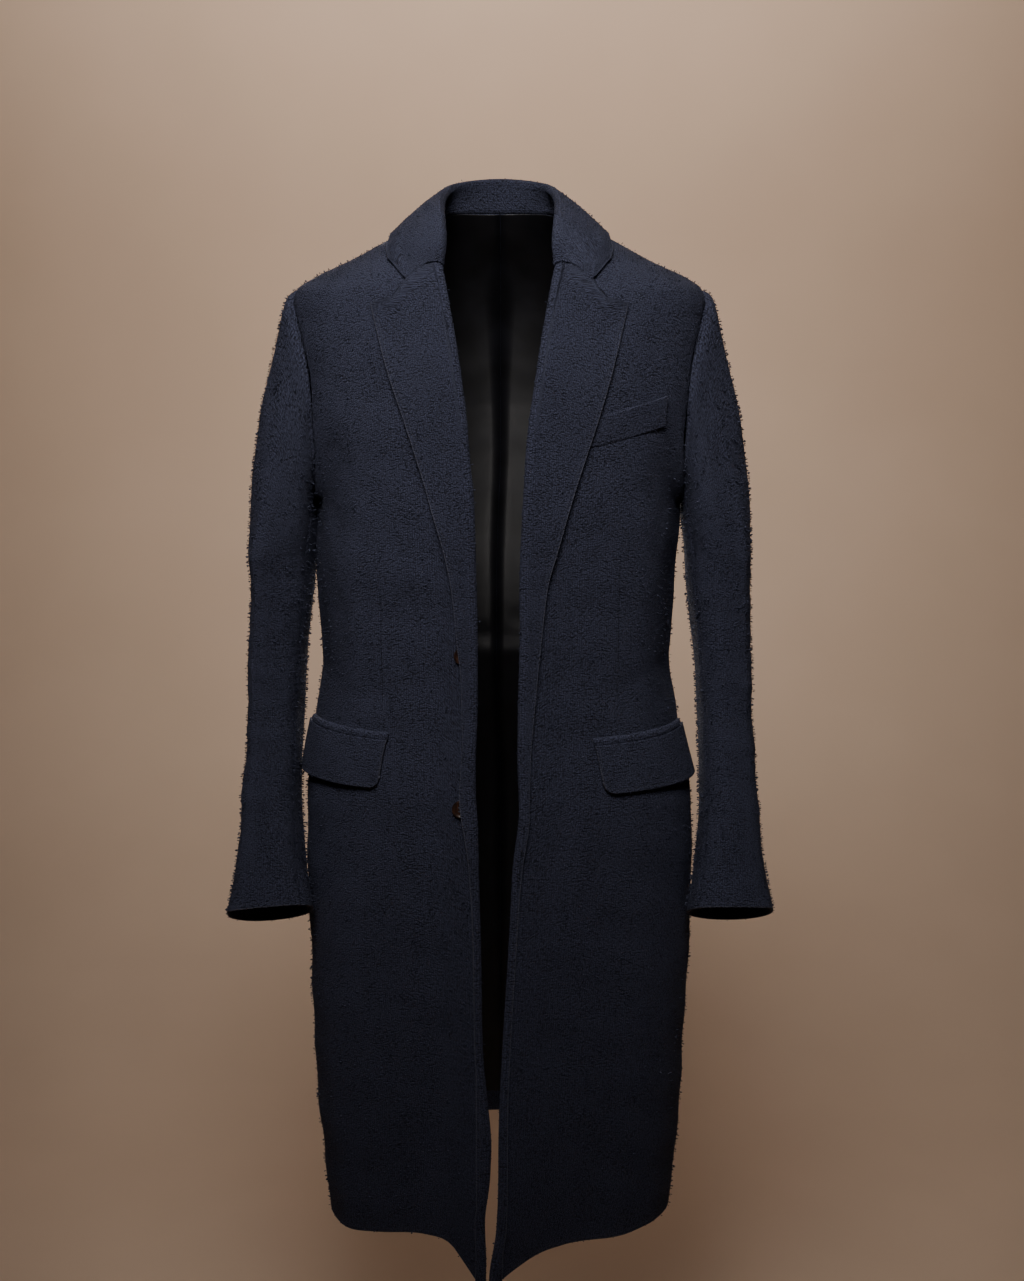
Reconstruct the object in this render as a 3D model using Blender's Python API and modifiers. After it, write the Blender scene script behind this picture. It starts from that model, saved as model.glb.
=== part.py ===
"""Single-breasted wool overcoat, hanging open in its worn, hollow form.

Metres, +Z up. The front faces -Y and the wearer's left is +X. The origin lies between the two
neck points, level with the top of the shoulder seams, where a wearer holds the coat up.
"""
import math

import bpy
import bmesh
from mathutils import Vector

# ------------------------------------------------------------------ driving sizes
WALL = 0.003            # napped coating wool, one finished layer
SEAM = 0.0004           # space between the two backs at their seam
LIFT = 0.0039           # middle of a piece lying on a panel, from the middle of that panel
SLEEVE_SEAM = 0.0009    # space at the sleeve seams, wider outside than inside

ARMPIT = -0.285         # height of the lowest point of the armhole
SHOULDER_TIP = -0.067   # height of the end of the shoulder seam
GORGE = -0.047          # height where the lapel roll reaches the collar
BACK_NECK = 0.012       # height of the neck seam at centre back
SIDE = -6.0             # side seam, degrees behind the widest point
ARMHOLE_REACH = 24.5    # how far the armhole cuts forward and back, degrees
ARMHOLE_EASE = 1.30     # rows of a panel lie closer together towards the top of the armhole
SEAM_TURN = 0.13        # degrees left free on each side of the side seams and armholes

FACING_UNDER = 0.0037   # middle of the turned-in facing, behind the middle of the front
ROLL_RADIUS = 0.0057    # middle radius of the soft roll along the lapel
EDGE_RADIUS = 0.0041    # and of the flatter edge below it
ROLL_CLEAR = 0.0010     # centre of the roll, beyond the free edge of the front
FACING_DEPTH = 0.018    # facing turned in behind the front
STRIP_TOP = -0.600      # the rolled-out facing narrows from here
STRIP_END = -0.720      # to here, and is a plain edge below

BUTTON_RADIUS = 0.0095
BUTTON_THICK = 0.0034
BUTTON_COLUMNS = ("z", "out")       # height, and centre from the axis
BUTTONS = (
    (-0.426, 0.0317),
    (-0.585, 0.0374),
)

# ------------------------------------------------------------------ section tables
# Body cloth by height: half width, depth in front, depth behind, squareness of the section.
BODY_COLUMNS = ("z", "half", "front", "back", "square")
BODY = (
    (0.030, 0.0760, 0.046, 0.060, 2.20),
    (0.012, 0.0790, 0.050, 0.066, 2.20),
    (0.000, 0.0840, 0.056, 0.072, 2.20),
    (-0.016, 0.1130, 0.068, 0.080, 2.20),
    (-0.036, 0.1500, 0.082, 0.091, 2.20),
    (-0.056, 0.1925, 0.095, 0.100, 2.25),
    (-0.067, 0.2085, 0.101, 0.104, 2.30),
    (-0.080, 0.2130, 0.107, 0.108, 2.30),
    (-0.100, 0.2110, 0.114, 0.113, 2.30),
    (-0.150, 0.2060, 0.127, 0.121, 2.30),
    (-0.200, 0.2022, 0.133, 0.125, 2.30),
    (-0.240, 0.1965, 0.135, 0.125, 2.30),
    (-0.285, 0.1925, 0.136, 0.123, 2.30),
    (-0.330, 0.1920, 0.134, 0.119, 2.30),
    (-0.393, 0.1905, 0.130, 0.112, 2.25),
    (-0.459, 0.1865, 0.127, 0.108, 2.25),
    (-0.503, 0.1930, 0.128, 0.112, 2.25),
    (-0.550, 0.2000, 0.131, 0.121, 2.30),
    (-0.600, 0.2060, 0.133, 0.129, 2.30),
    (-0.680, 0.2085, 0.132, 0.135, 2.35),
    (-0.760, 0.2075, 0.130, 0.139, 2.35),
    (-0.850, 0.2050, 0.127, 0.143, 2.35),
    (-0.950, 0.2013, 0.123, 0.147, 2.30),
    (-1.040, 0.1955, 0.119, 0.150, 2.20),
    (-1.130, 0.1865, 0.115, 0.152, 2.05),
)

TIP_FORWARD = 0.034     # the lower front corners hang forward
TIP_FROM = 0.075        # from this far out from the axis
TIP_TO = -0.012         # to this far beyond it

# The body hangs a little to the wearer's right: height, shift along X.
SWAY = (
    (-0.250, 0.0),
    (-0.380, -0.0045),
    (-0.520, -0.0045),
    (-0.620, -0.0005),
    (-0.800, -0.0012),
    (-1.130, -0.0018),
)

# Roll line and lapel edge, out from the axis, for the wearer's left and right.
EDGE_COLUMNS = ("z", "left", "right")
ROLL_LINE = (
    (-0.030, 0.0570, 0.0570),
    (-0.047, 0.0535, 0.0545),
    (-0.073, 0.0480, 0.0493),
    (-0.112, 0.0408, 0.0421),
    (-0.151, 0.0348, 0.0360),
    (-0.190, 0.0290, 0.0312),
    (-0.230, 0.0252, 0.0282),
    (-0.270, 0.0238, 0.0238),
    (-0.330, 0.0236, 0.0196),
    (-0.400, 0.0246, 0.0170),
    (-0.470, 0.0230, 0.0172),
    (-0.530, 0.0222, 0.0196),
    (-0.580, 0.0214, 0.0215),
    (-0.645, 0.0140, 0.0208),
    (-0.730, 0.0100, 0.0185),
    (-0.850, 0.0035, 0.0165),
    (-0.905, 0.0008, 0.0117),
    (-0.957, -0.0005, 0.0076),
    (-0.992, -0.0007, 0.0088),
    (-1.050, -0.0028, 0.0143),
    (-1.098, -0.0100, 0.0130),
    (-1.130, -0.0115, 0.0135),
)
LAPEL_EDGE = (
    (-0.078, 0.1262, 0.1262),
    (-0.125, 0.1160, 0.1135),
    (-0.165, 0.1048, 0.1030),
    (-0.212, 0.0895, 0.0850),
    (-0.250, 0.0763, 0.0730),
    (-0.277, 0.0690, 0.0648),
    (-0.321, 0.0588, 0.0505),
    (-0.354, 0.0514, 0.0432),
    (-0.383, 0.0483, 0.0397),
    (-0.413, 0.0454, 0.0374),
    (-0.450, 0.0420, 0.0338),
    (-0.515, 0.0366, 0.0328),
    (-0.580, 0.0320, 0.0383),
    (-0.640, 0.0238, 0.0318),
    (-0.680, 0.0200, 0.0290),
    (-0.720, 0.0175, 0.0268),
    (-1.130, 0.0000, 0.0200),
)

# Height of the hem by direction round the body, for the wearer's left and right.
HEM_COLUMNS = ("angle", "left", "right")
HEM = (
    (-90.0, -1.0480, -1.0480),
    (-45.0, -1.0640, -1.0650),
    (-6.0, -1.0860, -1.0890),
    (20.0, -1.0825, -1.0890),
    (34.0, -1.0800, -1.0850),
    (47.0, -1.0840, -1.0800),
    (60.0, -1.0833, -1.0745),
    (67.0, -1.0828, -1.0722),
    (72.0, -1.0840, -1.0722),
    (75.5, -1.0850, -1.0760),
    (79.0, -1.0880, -1.0920),
    (82.0, -1.0922, -1.1075),
    (84.5, -1.0965, -1.1190),
    (87.5, -1.1025, -1.1240),
    (90.0, -1.1084, -1.1260),
)

# Soft folds of the skirt and back: direction, height where each starts and is full, width, height.
FOLD_COLUMNS = ("side", "angle", "start", "full", "width", "rise")
FOLDS = (
    (1, -66.0, -0.480, -0.900, 10.0, 0.0070),
    (-1, -66.0, -0.520, -0.950, 11.0, 0.0055),
    (1, -33.0, -0.560, -0.950, 9.0, 0.0050),
    (-1, -33.0, -0.540, -0.920, 9.0, 0.0065),
    (1, 34.0, -0.640, -0.980, 9.0, 0.0035),
    (-1, 34.0, -0.640, -0.980, 9.0, 0.0040),
    (1, 62.0, -0.660, -1.000, 8.0, -0.0040),
    (-1, 62.0, -0.660, -1.000, 8.0, -0.0035),
)

# Sleeve below the armhole: centre, half width, half depth, how far the ring tips forward.
SLEEVE_COLUMNS = ("z", "x", "y", "half", "depth", "tip")
SLEEVE = (
    (-0.335, 0.2300, 0.006, 0.0318, 0.078, 0.0),
    (-0.370, 0.2312, 0.008, 0.0303, 0.075, 2.0),
    (-0.410, 0.2345, 0.008, 0.0287, 0.073, 4.0),
    (-0.455, 0.2378, 0.005, 0.0272, 0.071, 8.0),
    (-0.500, 0.2400, -0.002, 0.0260, 0.069, 12.0),
    (-0.545, 0.2413, -0.013, 0.0256, 0.067, 16.0),
    (-0.590, 0.2432, -0.027, 0.0270, 0.065, 20.0),
    (-0.635, 0.2440, -0.043, 0.0302, 0.063, 22.5),
    (-0.680, 0.2438, -0.060, 0.0362, 0.062, 24.5),
    (-0.717, 0.2440, -0.075, 0.0438, 0.061, 26.0),
)

# Neck seam of the front from the roll to the neck point: share, out from the axis, height.
NECK_COLUMNS = ("share", "out", "z")
NECK = (
    (0.00, 0.0620, -0.0470),
    (0.25, 0.0715, -0.0340),
    (0.50, 0.0790, -0.0210),
    (0.75, 0.0825, -0.0090),
    (1.00, 0.0840, 0.0000),
)

# Lapel top edge beyond its seam to the collar, out from the axis and height: notch to corner.
NOTCH = (
    (0.0920, -0.0585),
    (0.1040, -0.0730),
    (0.1260, -0.0785),
)
COLLAR_CORNER = (46.0, -0.0375)     # direction and height of the front corner of the collar leaf

# Collar stations from the gorge to centre back, four to the neck point and four behind it:
# the fold, and the direction and height of the leaf edge.
COLLAR_COLUMNS = ("x", "y", "z", "edge", "edge_z")
COLLAR = (
    (0.0575, -0.0770, -0.0200, 37.0, -0.0290),
    (0.0590, -0.0540, 0.0000, 27.0, -0.0205),
    (0.0608, -0.0290, 0.0130, 15.0, -0.0150),
    (0.0608, -0.0020, 0.0235, 1.0, -0.0120),
    (0.0575, 0.0250, 0.0315, -16.0, -0.0125),
    (0.0480, 0.0480, 0.0375, -36.0, -0.0135),
    (0.0280, 0.0680, 0.0415, -62.0, -0.0145),
    (0.0000, 0.0755, 0.0430, -90.0, -0.0150),
)


# ------------------------------------------------------------------ reading the tables
def eased(rows, x):
    """Value at x from (position, value) rows, smooth and without overshoot."""
    rows = sorted(rows)
    if x <= rows[0][0]:
        return rows[0][1]
    if x >= rows[-1][0]:
        return rows[-1][1]
    slopes = [(b[1] - a[1]) / (b[0] - a[0]) for a, b in zip(rows, rows[1:])]
    for i in range(len(slopes)):
        if x <= rows[i + 1][0]:
            break
    ends = []
    for k in (i, i + 1):
        if k == 0:
            ends.append(slopes[0])
        elif k == len(rows) - 1:
            ends.append(slopes[-1])
        elif slopes[k - 1] * slopes[k] <= 0.0:
            ends.append(0.0)
        else:
            ends.append(2.0 * slopes[k - 1] * slopes[k] / (slopes[k - 1] + slopes[k]))
    span = rows[i + 1][0] - rows[i][0]
    t = (x - rows[i][0]) / span
    return (rows[i][1] * (2 * t ** 3 - 3 * t ** 2 + 1)
            + ends[0] * span * (t ** 3 - 2 * t ** 2 + t)
            + rows[i + 1][1] * (3 * t ** 2 - 2 * t ** 3)
            + ends[1] * span * (t ** 3 - t ** 2))


def read(table, columns, name, x):
    """One named column of a table, read at x in its first column."""
    k = columns.index(name)
    return eased([(row[0], row[k]) for row in table], x)


def ramp(x, low, high):
    """0 at low, 1 at high, soft at both ends."""
    t = min(1.0, max(0.0, (x - low) / (high - low)))
    return t * t * (3.0 - 2.0 * t)


def signed_power(value, power):
    return math.copysign(abs(value) ** power, value)


def side_name(side):
    return "left" if side > 0 else "right"


# ------------------------------------------------------------------ the body surface
def plain_torso(angle, z):
    """Point on the middle of the body cloth. 0 is the wearer's left side, 90 the front."""
    half = read(BODY, BODY_COLUMNS, "half", z)
    power = 2.0 / read(BODY, BODY_COLUMNS, "square", z)
    cosine = math.cos(math.radians(angle))
    sine = math.sin(math.radians(angle))
    depth = read(BODY, BODY_COLUMNS, "front" if sine > 0.0 else "back", z)
    x = half * signed_power(cosine, power)
    y = -depth * signed_power(sine, power)
    if sine > 0.0:
        near = min(1.0, max(0.0, (TIP_FROM - x) / (TIP_FROM - TIP_TO)))
        y -= TIP_FORWARD * ramp(-z, 0.80, 1.10) * near ** 1.5
    return Vector((x, y, z))


def fold_rise(side, angle, z):
    rise = 0.0
    for fold_side, middle, start, full, width, height in FOLDS:
        if fold_side == side:
            across = (angle - middle) / width
            rise += height * math.exp(-across * across) * ramp(-z, -start, -full)
    return rise


def torso(side, angle, z, lift=0.0):
    """Middle of the body cloth on one side of the axis, moved out by lift."""
    here = plain_torso(angle, z)
    step = 0.4
    along = plain_torso(angle + step, z) - plain_torso(angle - step, z)
    up = plain_torso(angle, z + 0.002) - plain_torso(angle, z - 0.002)
    out = up.cross(along).normalized()
    if out.dot(Vector((here.x, here.y, 0.0))) < 0.0 and abs(out.z) < 0.999:
        out = -out
    here = here + out * (lift + fold_rise(side, angle, z))
    return Vector((here.x * side + eased(SWAY, z), here.y, here.z)), Vector((out.x * side, out.y, out.z))


def angle_at(x, z):
    """Direction of the point of the front that lies x out from the axis."""
    half = read(BODY, BODY_COLUMNS, "half", z)
    square = read(BODY, BODY_COLUMNS, "square", z)
    ratio = max(-1.0, min(1.0, signed_power(x / half, square / 2.0)))
    return math.degrees(math.acos(ratio))


def roll_x(side, z):
    return read(ROLL_LINE, EDGE_COLUMNS, side_name(side), z)


def lapel_x(side, z):
    return read(LAPEL_EDGE, EDGE_COLUMNS, side_name(side), z)


def roll_radius(z):
    return EDGE_RADIUS + (ROLL_RADIUS - EDGE_RADIUS) * ramp(z, STRIP_END, STRIP_TOP)


def roll_rise(z):
    """Centre of the roll, outside the middle of the front."""
    return roll_radius(z) - FACING_UNDER


def front_edge_x(side, z):
    """Free edge of the front panel, inside the roll of the facing."""
    return roll_x(side, z) + WALL / 2.0 + roll_radius(z) + ROLL_CLEAR


def hem_z(side, angle):
    return read(HEM, HEM_COLUMNS, side_name(side), angle)


def armhole(turn):
    """Direction and height on the armhole. 0 is the top, 90 the front, 180 the armpit."""
    sine = math.sin(math.radians(turn))
    cosine = math.cos(math.radians(turn))
    angle = ARMHOLE_REACH * sine * (1.0 - 0.12 * cosine) + SIDE * (1.0 - cosine) / 2.0
    middle = (SHOULDER_TIP + ARMPIT) / 2.0
    reach = (SHOULDER_TIP - ARMPIT) / 2.0
    return angle, middle + reach * cosine


# ------------------------------------------------------------------ building meshes
def start_scene():
    for obj in list(bpy.data.objects):
        bpy.data.objects.remove(obj, do_unlink=True)
    for mesh in list(bpy.data.meshes):
        bpy.data.meshes.remove(mesh)


def linear(hex_colour):
    values = []
    for k in (1, 3, 5):
        v = int(hex_colour[k:k + 2], 16) / 255.0
        values.append(v / 12.92 if v <= 0.04045 else ((v + 0.055) / 1.055) ** 2.4)
    return (*values, 1.0)


def cloth(name, colour, roughness):
    material = bpy.data.materials.new(name)
    material.use_nodes = True
    shader = material.node_tree.nodes["Principled BSDF"]
    shader.inputs["Base Color"].default_value = linear(colour)
    shader.inputs["Roughness"].default_value = roughness
    material.diffuse_color = linear(colour)
    return material


def place(name, mesh, material):
    mesh.materials.append(material)
    obj = bpy.data.objects.new(name, mesh)
    holder = bpy.data.collections.new(name)
    bpy.context.scene.collection.children.link(holder)
    holder.objects.link(obj)
    return obj


def sheet(name, rows, colour="#2A2D3B", wall=WALL, closed=False):
    """Cloth piece from a grid of points on its middle, given thickness by a Solidify."""
    bm = bmesh.new()
    grid = [[bm.verts.new(point) for point in row] for row in rows]
    wide = len(rows[0])
    for lower, upper in zip(grid, grid[1:]):
        for k in range(wide if closed else wide - 1):
            after = (k + 1) % wide
            bm.faces.new((lower[k], lower[after], upper[after], upper[k]))
    bmesh.ops.recalc_face_normals(bm, faces=bm.faces)
    mesh = bpy.data.meshes.new(name)
    bm.to_mesh(mesh)
    bm.free()
    for polygon in mesh.polygons:
        polygon.use_smooth = True
    obj = place(name, mesh, cloth(name + "_cloth", colour, 0.9))
    solid = obj.modifiers.new("thickness", "SOLIDIFY")
    solid.thickness = wall
    solid.offset = 0.0
    solid.use_even_offset = False
    return obj


def coons(left, right, bottom, top, u, v):
    """Blend of four border curves of (direction, height)."""
    def mix(a, b, t):
        return Vector(a) * (1.0 - t) + Vector(b) * t
    ruled = mix(bottom(u), top(u), v) + mix(left(v), right(v), u)
    corners = mix(mix(bottom(0.0), bottom(1.0), u), mix(top(0.0), top(1.0), u), v)
    return ruled - corners


# ------------------------------------------------------------------ neckline, shared by fronts, back and collar
def front_neck(side, t):
    """Front neck seam as (direction, height), from the roll at 0 to the neck point at 1."""
    z = read(NECK, NECK_COLUMNS, "z", t)
    out = read(NECK, NECK_COLUMNS, "out", t)
    out += (front_edge_x(side, GORGE) - NECK[0][1]) * (1.0 - t) ** 2
    return max(0.16, angle_at(out, z)), z


def back_neck(t):
    """Back neck seam, from the neck point at 0 to centre back at 1."""
    return min(-0.16, -90.0 * t), BACK_NECK * ramp(t, 0.0, 0.7)


# ------------------------------------------------------------------ front panels
FRONT_COLUMNS = 10
FRONT_LOWER_ROWS = 18
FRONT_UPPER_ROWS = 11
ROLL_SHARE = 7.0 / 11.0   # of the upper rows, the rest meet the neck seam


def front_rows(side):
    rows = []
    for j in range(FRONT_LOWER_ROWS):
        v = j / FRONT_LOWER_ROWS
        edge_z = hem_z(side, 90.0) * (1.0 - v) + ARMPIT * v
        start = angle_at(front_edge_x(side, edge_z), edge_z)
        row = []
        for i in range(FRONT_COLUMNS + 1):
            u = (i / FRONT_COLUMNS) ** 1.15
            angle = start * (1.0 - u) + (SIDE + SEAM_TURN) * u
            z = hem_z(side, angle) * (1.0 - v) + ARMPIT * v
            row.append(torso(side, angle, z)[0])
        rows.append(row)

    def left(v):
        if v < ROLL_SHARE:
            z = GORGE + (ARMPIT - GORGE) * (1.0 - v / ROLL_SHARE) ** 1.4
            return angle_at(front_edge_x(side, z), z), z
        return front_neck(side, (v - ROLL_SHARE) / (1.0 - ROLL_SHARE))

    def right(v):
        angle, z = armhole(180.0 * (1.0 - v) ** ARMHOLE_EASE)
        return angle + SEAM_TURN, z

    def bottom(u):
        return left(0.0)[0] * (1.0 - u) + (SIDE + SEAM_TURN) * u, ARMPIT

    def top(u):
        return 0.16, SHOULDER_TIP * u

    for j in range(FRONT_UPPER_ROWS + 1):
        v = j / FRONT_UPPER_ROWS
        row = []
        for i in range(FRONT_COLUMNS + 1):
            u = (i / FRONT_COLUMNS) ** 1.15
            angle, z = coons(left, right, bottom, top, u, v)
            row.append(torso(side, angle, z)[0])
        rows.append(row)
    return rows


# ------------------------------------------------------------------ back panel
BACK_COLUMNS = 9
BACK_LOWER_ROWS = 18
BACK_UPPER_ROWS = 11
NECK_SHARE = 4.0 / 9.0    # of the columns, the rest meet the shoulder seam


def back_rows(side):
    """Rows from the centre back seam to the side seam and armhole, hem first."""
    rows = []
    for j in range(BACK_LOWER_ROWS):
        v = j / BACK_LOWER_ROWS
        row = []
        for i in range(BACK_COLUMNS + 1):
            u = i / BACK_COLUMNS
            angle = -90.0 * (1.0 - u) + (SIDE - SEAM_TURN) * u
            z = hem_z(side, angle) * (1.0 - v) + ARMPIT * v
            row.append(torso(side, angle, z)[0])
        rows.append(row)

    def left(v):
        return -90.0, ARMPIT + (BACK_NECK - ARMPIT) * v

    def right(v):
        angle, z = armhole(360.0 - 180.0 * (1.0 - v) ** ARMHOLE_EASE)
        return angle - SEAM_TURN, z

    def bottom(u):
        return -90.0 * (1.0 - u) + (SIDE - SEAM_TURN) * u, ARMPIT

    def top(u):
        if u < NECK_SHARE:
            return back_neck(1.0 - u / NECK_SHARE)
        return -0.16, SHOULDER_TIP * (u - NECK_SHARE) / (1.0 - NECK_SHARE)

    for j in range(BACK_UPPER_ROWS + 1):
        v = j / BACK_UPPER_ROWS
        row = []
        for i in range(BACK_COLUMNS + 1):
            angle, z = coons(left, right, bottom, top, i / BACK_COLUMNS, v)
            row.append(torso(side, angle, z)[0])
        rows.append(row)
    for row in rows:
        row[0] = row[0] + Vector((side * SEAM / 2.0, 0.0, 0.0))
    return rows


# ------------------------------------------------------------------ lapel facings
LAPEL_ROWS = 18
FACING_ROWS = 11


def roll_points(side, x, z):
    """Round of the facing about the free edge of the front, inside to outside."""
    angle = angle_at(x, z)
    edge, out = torso(side, angle, z)
    inward = torso(side, angle + 0.5, z)[0] - torso(side, angle - 0.5, z)[0]
    inward = (inward - out * inward.dot(out)).normalized()
    radius = roll_radius(z)
    points = []
    for turn in (0.0, 45.0, 90.0, 135.0):
        cosine = math.cos(math.radians(turn))
        sine = math.sin(math.radians(turn))
        points.append(edge + out * (roll_rise(z) - radius * cosine)
                      + inward * (ROLL_CLEAR + radius * sine))
    return points


def lapel_lift(z, share, width):
    """Height of the turned-out facing above the front, roll to edge."""
    full = roll_rise(z) + roll_radius(z)
    wide = ramp(width, 0.022, 0.050)
    low = LIFT + 0.0008
    return full - (full - low) * ramp(share, 0.15, 1.0) * wide


def gorge_line(side):
    """Lapel top edge as (x, z): up to the notch along the collar, then out to the corner."""
    start = front_edge_x(side, GORGE)
    seam = ((start, GORGE + 0.004), (start + 0.010, GORGE + 0.002), (start + 0.021, GORGE - 0.004))
    return seam + NOTCH


def facing_row(side, roll_z, edge_z, blend):
    """One section of the facing: turned in, round the roll, and out over the front."""
    x0 = front_edge_x(side, roll_z)
    x1 = max(lapel_x(side, edge_z), x0 + 0.0020)
    line = gorge_line(side)
    drop = ramp(-roll_z, 0.95, -hem_z(side, 90.0))

    def level(x, z):
        hem_here = hem_z(side, angle_at(x, z)) + 0.0012
        return z + (hem_here - hem_z(side, 90.0)) * drop

    row = []
    for k in range(2):
        x = x0 + (FACING_DEPTH - 0.013 * ramp(roll_z, -0.120, -0.075)) * (1.0 - k / 2.0)
        row.append(torso(side, angle_at(x, roll_z), level(x, roll_z), -FACING_UNDER)[0])
    row += roll_points(side, x0, level(x0, roll_z))
    for k in range(6):
        share = k / 5.0
        x = x0 + (x1 - x0) * share
        z = roll_z + (edge_z - roll_z) * share
        x += (line[k][0] - x) * blend
        z += (line[k][1] - z) * blend
        lift = lapel_lift(roll_z, share, x1 - x0)
        row.append(torso(side, angle_at(x, z), level(x, z), lift)[0])
    return row


def lapel_rows(side):
    rows = []
    for j in range(FACING_ROWS):
        z = hem_z(side, 90.0) + (STRIP_END + 0.020 - hem_z(side, 90.0)) * j / FACING_ROWS
        rows.append(facing_row(side, z, z, 0.0))
    low = STRIP_END + 0.020
    line = gorge_line(side)
    for j in range(LAPEL_ROWS + 1):
        v = (j / LAPEL_ROWS) ** 0.9
        roll_z = low + (line[0][1] - low) * v
        edge_z = low + (line[-1][1] - low) * v
        rows.append(facing_row(side, roll_z, edge_z, ramp(v, 0.72, 1.0)))
    return rows


# ------------------------------------------------------------------ collar
GORGE_GAP = 0.0017      # collar above the lapel at the gorge seam, between their middles


def collar_station(side, number):
    fx, fy, fz, edge_angle, edge_z = COLLAR[number]
    fold = Vector((fx * side, fy, fz))
    share = (number + 1) / 4.0
    seam_angle, seam_z = front_neck(side, share) if share <= 1.0 else back_neck(share - 1.0)
    base, out = torso(side, seam_angle, seam_z)
    leaf, leaf_out = torso(side, edge_angle, edge_z, LIFT + 0.0018)
    base = base + (fold - base).normalized() * 0.0024
    tip = (fold - (base + leaf) / 2.0).normalized()
    outward = (out - tip * out.dot(tip)).normalized()
    radius = 0.0040
    inner = fold - outward * radius
    outer = fold + outward * radius
    row = [base, (base + inner) / 2.0, inner]
    for turn in (45.0, 90.0, 135.0):
        cosine = math.cos(math.radians(turn))
        sine = math.sin(math.radians(turn))
        row.append(fold - outward * radius * cosine + tip * radius * sine)
    for k in range(5):
        t = k / 4.0
        bulge = 0.0026 * 4.0 * t * (1.0 - t)
        row.append(outer * (1.0 - t) + leaf * t + leaf_out * bulge)
    return row


def collar_front(side):
    """First collar section, along the gorge and then out along the leaf's short front edge."""
    line = gorge_line(side)
    x0, z0 = line[0]
    row = []
    for depth in (0.0005, 0.0002):
        row.append(torso(side, angle_at(x0 + depth, z0), z0 + GORGE_GAP, -FACING_UNDER)[0])
    row += roll_points(side, x0, z0 + GORGE_GAP)
    for k in (0, 1, 2, 3):
        x, z = line[k]
        lift = lapel_lift(z0, k / 5.0, line[-1][0] - line[0][0])
        row.append(torso(side, angle_at(x, z), z + GORGE_GAP, lift)[0])
    row.append(torso(side, *COLLAR_CORNER, LIFT + 0.0018)[0])
    return row


def shoulder_points(side):
    """Body cloth round the neck and shoulder, as (point, outward direction)."""
    found = []
    for j in range(15):
        z = -0.068 + 0.005 * j
        for i in range(31):
            found.append(torso(side, -90.0 + 6.0 * i, z))
    return found


def clear_of_body(point, least, body):
    """The point, moved out if it lies nearer than least to the middle of the body cloth."""
    below, out = min(body, key=lambda pair: (pair[0] - point).length_squared)
    near = (point - below).dot(out)
    return point + out * max(0.0, least - near)


def collar_rows():
    left = [collar_front(1)] + [collar_station(1, k) for k in range(len(COLLAR))]
    right = [collar_front(-1)] + [collar_station(-1, k) for k in range(len(COLLAR))]
    coarse = left + list(reversed(right[:-1]))
    rows = []
    for k in range(len(coarse) - 1):
        before = coarse[max(0, k - 1)]
        here = coarse[k]
        after = coarse[k + 1]
        beyond = coarse[min(len(coarse) - 1, k + 2)]
        rows.append(here)
        rows.append([(b + c) * 0.5625 - (a + d) * 0.0625 for a, b, c, d in zip(before, here, after, beyond)])
        rows[-1][0] = (here[0] + after[0]) / 2.0
    rows.append(coarse[-1])
    body = {1: shoulder_points(1), -1: shoulder_points(-1)}
    for step in range(3):
        for j in range(1, len(rows) - 1):
            side = 1 if 2 * j < len(rows) else -1
            end = min(j, len(rows) - 1 - j)
            least = LIFT + 0.0014 + 0.0012 * (1.0 - ramp(end, 1.0, 5.0))
            for k in (7, 8, 9, 10):
                rows[j][k] = clear_of_body(rows[j][k], least - (0.0010 if k == 10 else 0.0), body[side])
        if step < 2:
            rows = [rows[0], rows[1]] + [
                row[:6] + [point * 0.5 + (a + b) * 0.25 for a, point, b in zip(before[6:10], row[6:10], after[6:10])]
                + row[10:] for before, row, after in zip(rows[1:], rows[2:-2], rows[3:])] + [rows[-2], rows[-1]]
    return rows


# ------------------------------------------------------------------ sleeves
HEAD_SHARES = (0.0, 0.025, 0.06, 0.12, 0.21, 0.33, 0.48, 0.65, 0.83)
TOP_SLEEVE = (-128.0, 146.0)
TOP_COLUMNS = 16
UNDER_COLUMNS = 7
CUFF_SLANT = {1: 0.02, -1: 0.12}   # how much lower the cuff hangs outside than against the body
CUFF_DROOP = 0.0012     # front and back of the cuff hang below its sides


def sleeve_ring(side, station, turn):
    """Point of one sleeve section. Turn 0 is the outside, 90 the front, 180 against the body."""
    z, x, y, half, depth, tip = station
    cosine = math.cos(math.radians(turn))
    sine = math.sin(math.radians(turn))
    out = signed_power(cosine, 0.92)
    forward = signed_power(sine, 0.95)
    shift = 0.38 * half * max(0.0, forward) ** 3
    lean = math.radians(tip)
    px = x + half * out + shift
    py = y - depth * forward * math.cos(lean)
    pz = z + depth * forward * math.sin(lean)
    pz -= CUFF_SLANT[side] * (px - x) * ramp(-z, 0.55, 0.71)
    pz -= CUFF_DROOP * forward ** 2 * ramp(-z, 0.60, 0.71)
    return Vector((px * side, py, pz))


def head_point(side, share, turn):
    """Point of the sleeve head, between the armhole and the first full section."""
    angle, z = armhole(turn)
    start = torso(side, angle, z, LIFT)[0]
    end = sleeve_ring(side, SLEEVE[0], turn)
    cosine = math.cos(math.radians(turn))
    sine = math.sin(math.radians(turn))
    puff = 0.0135 * (0.5 + 0.5 * cosine) + 0.0016
    swell = puff * (0.42 * (1.0 - math.exp(-share / 0.028)) + 0.50 * ramp(share, 0.10, 0.52))
    swell *= 1.0 - share ** 4
    point = start * (1.0 - share) + end * share
    return point + Vector((max(cosine, 0.0) * side, -sine * 0.7, 0.0)) * swell


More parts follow.
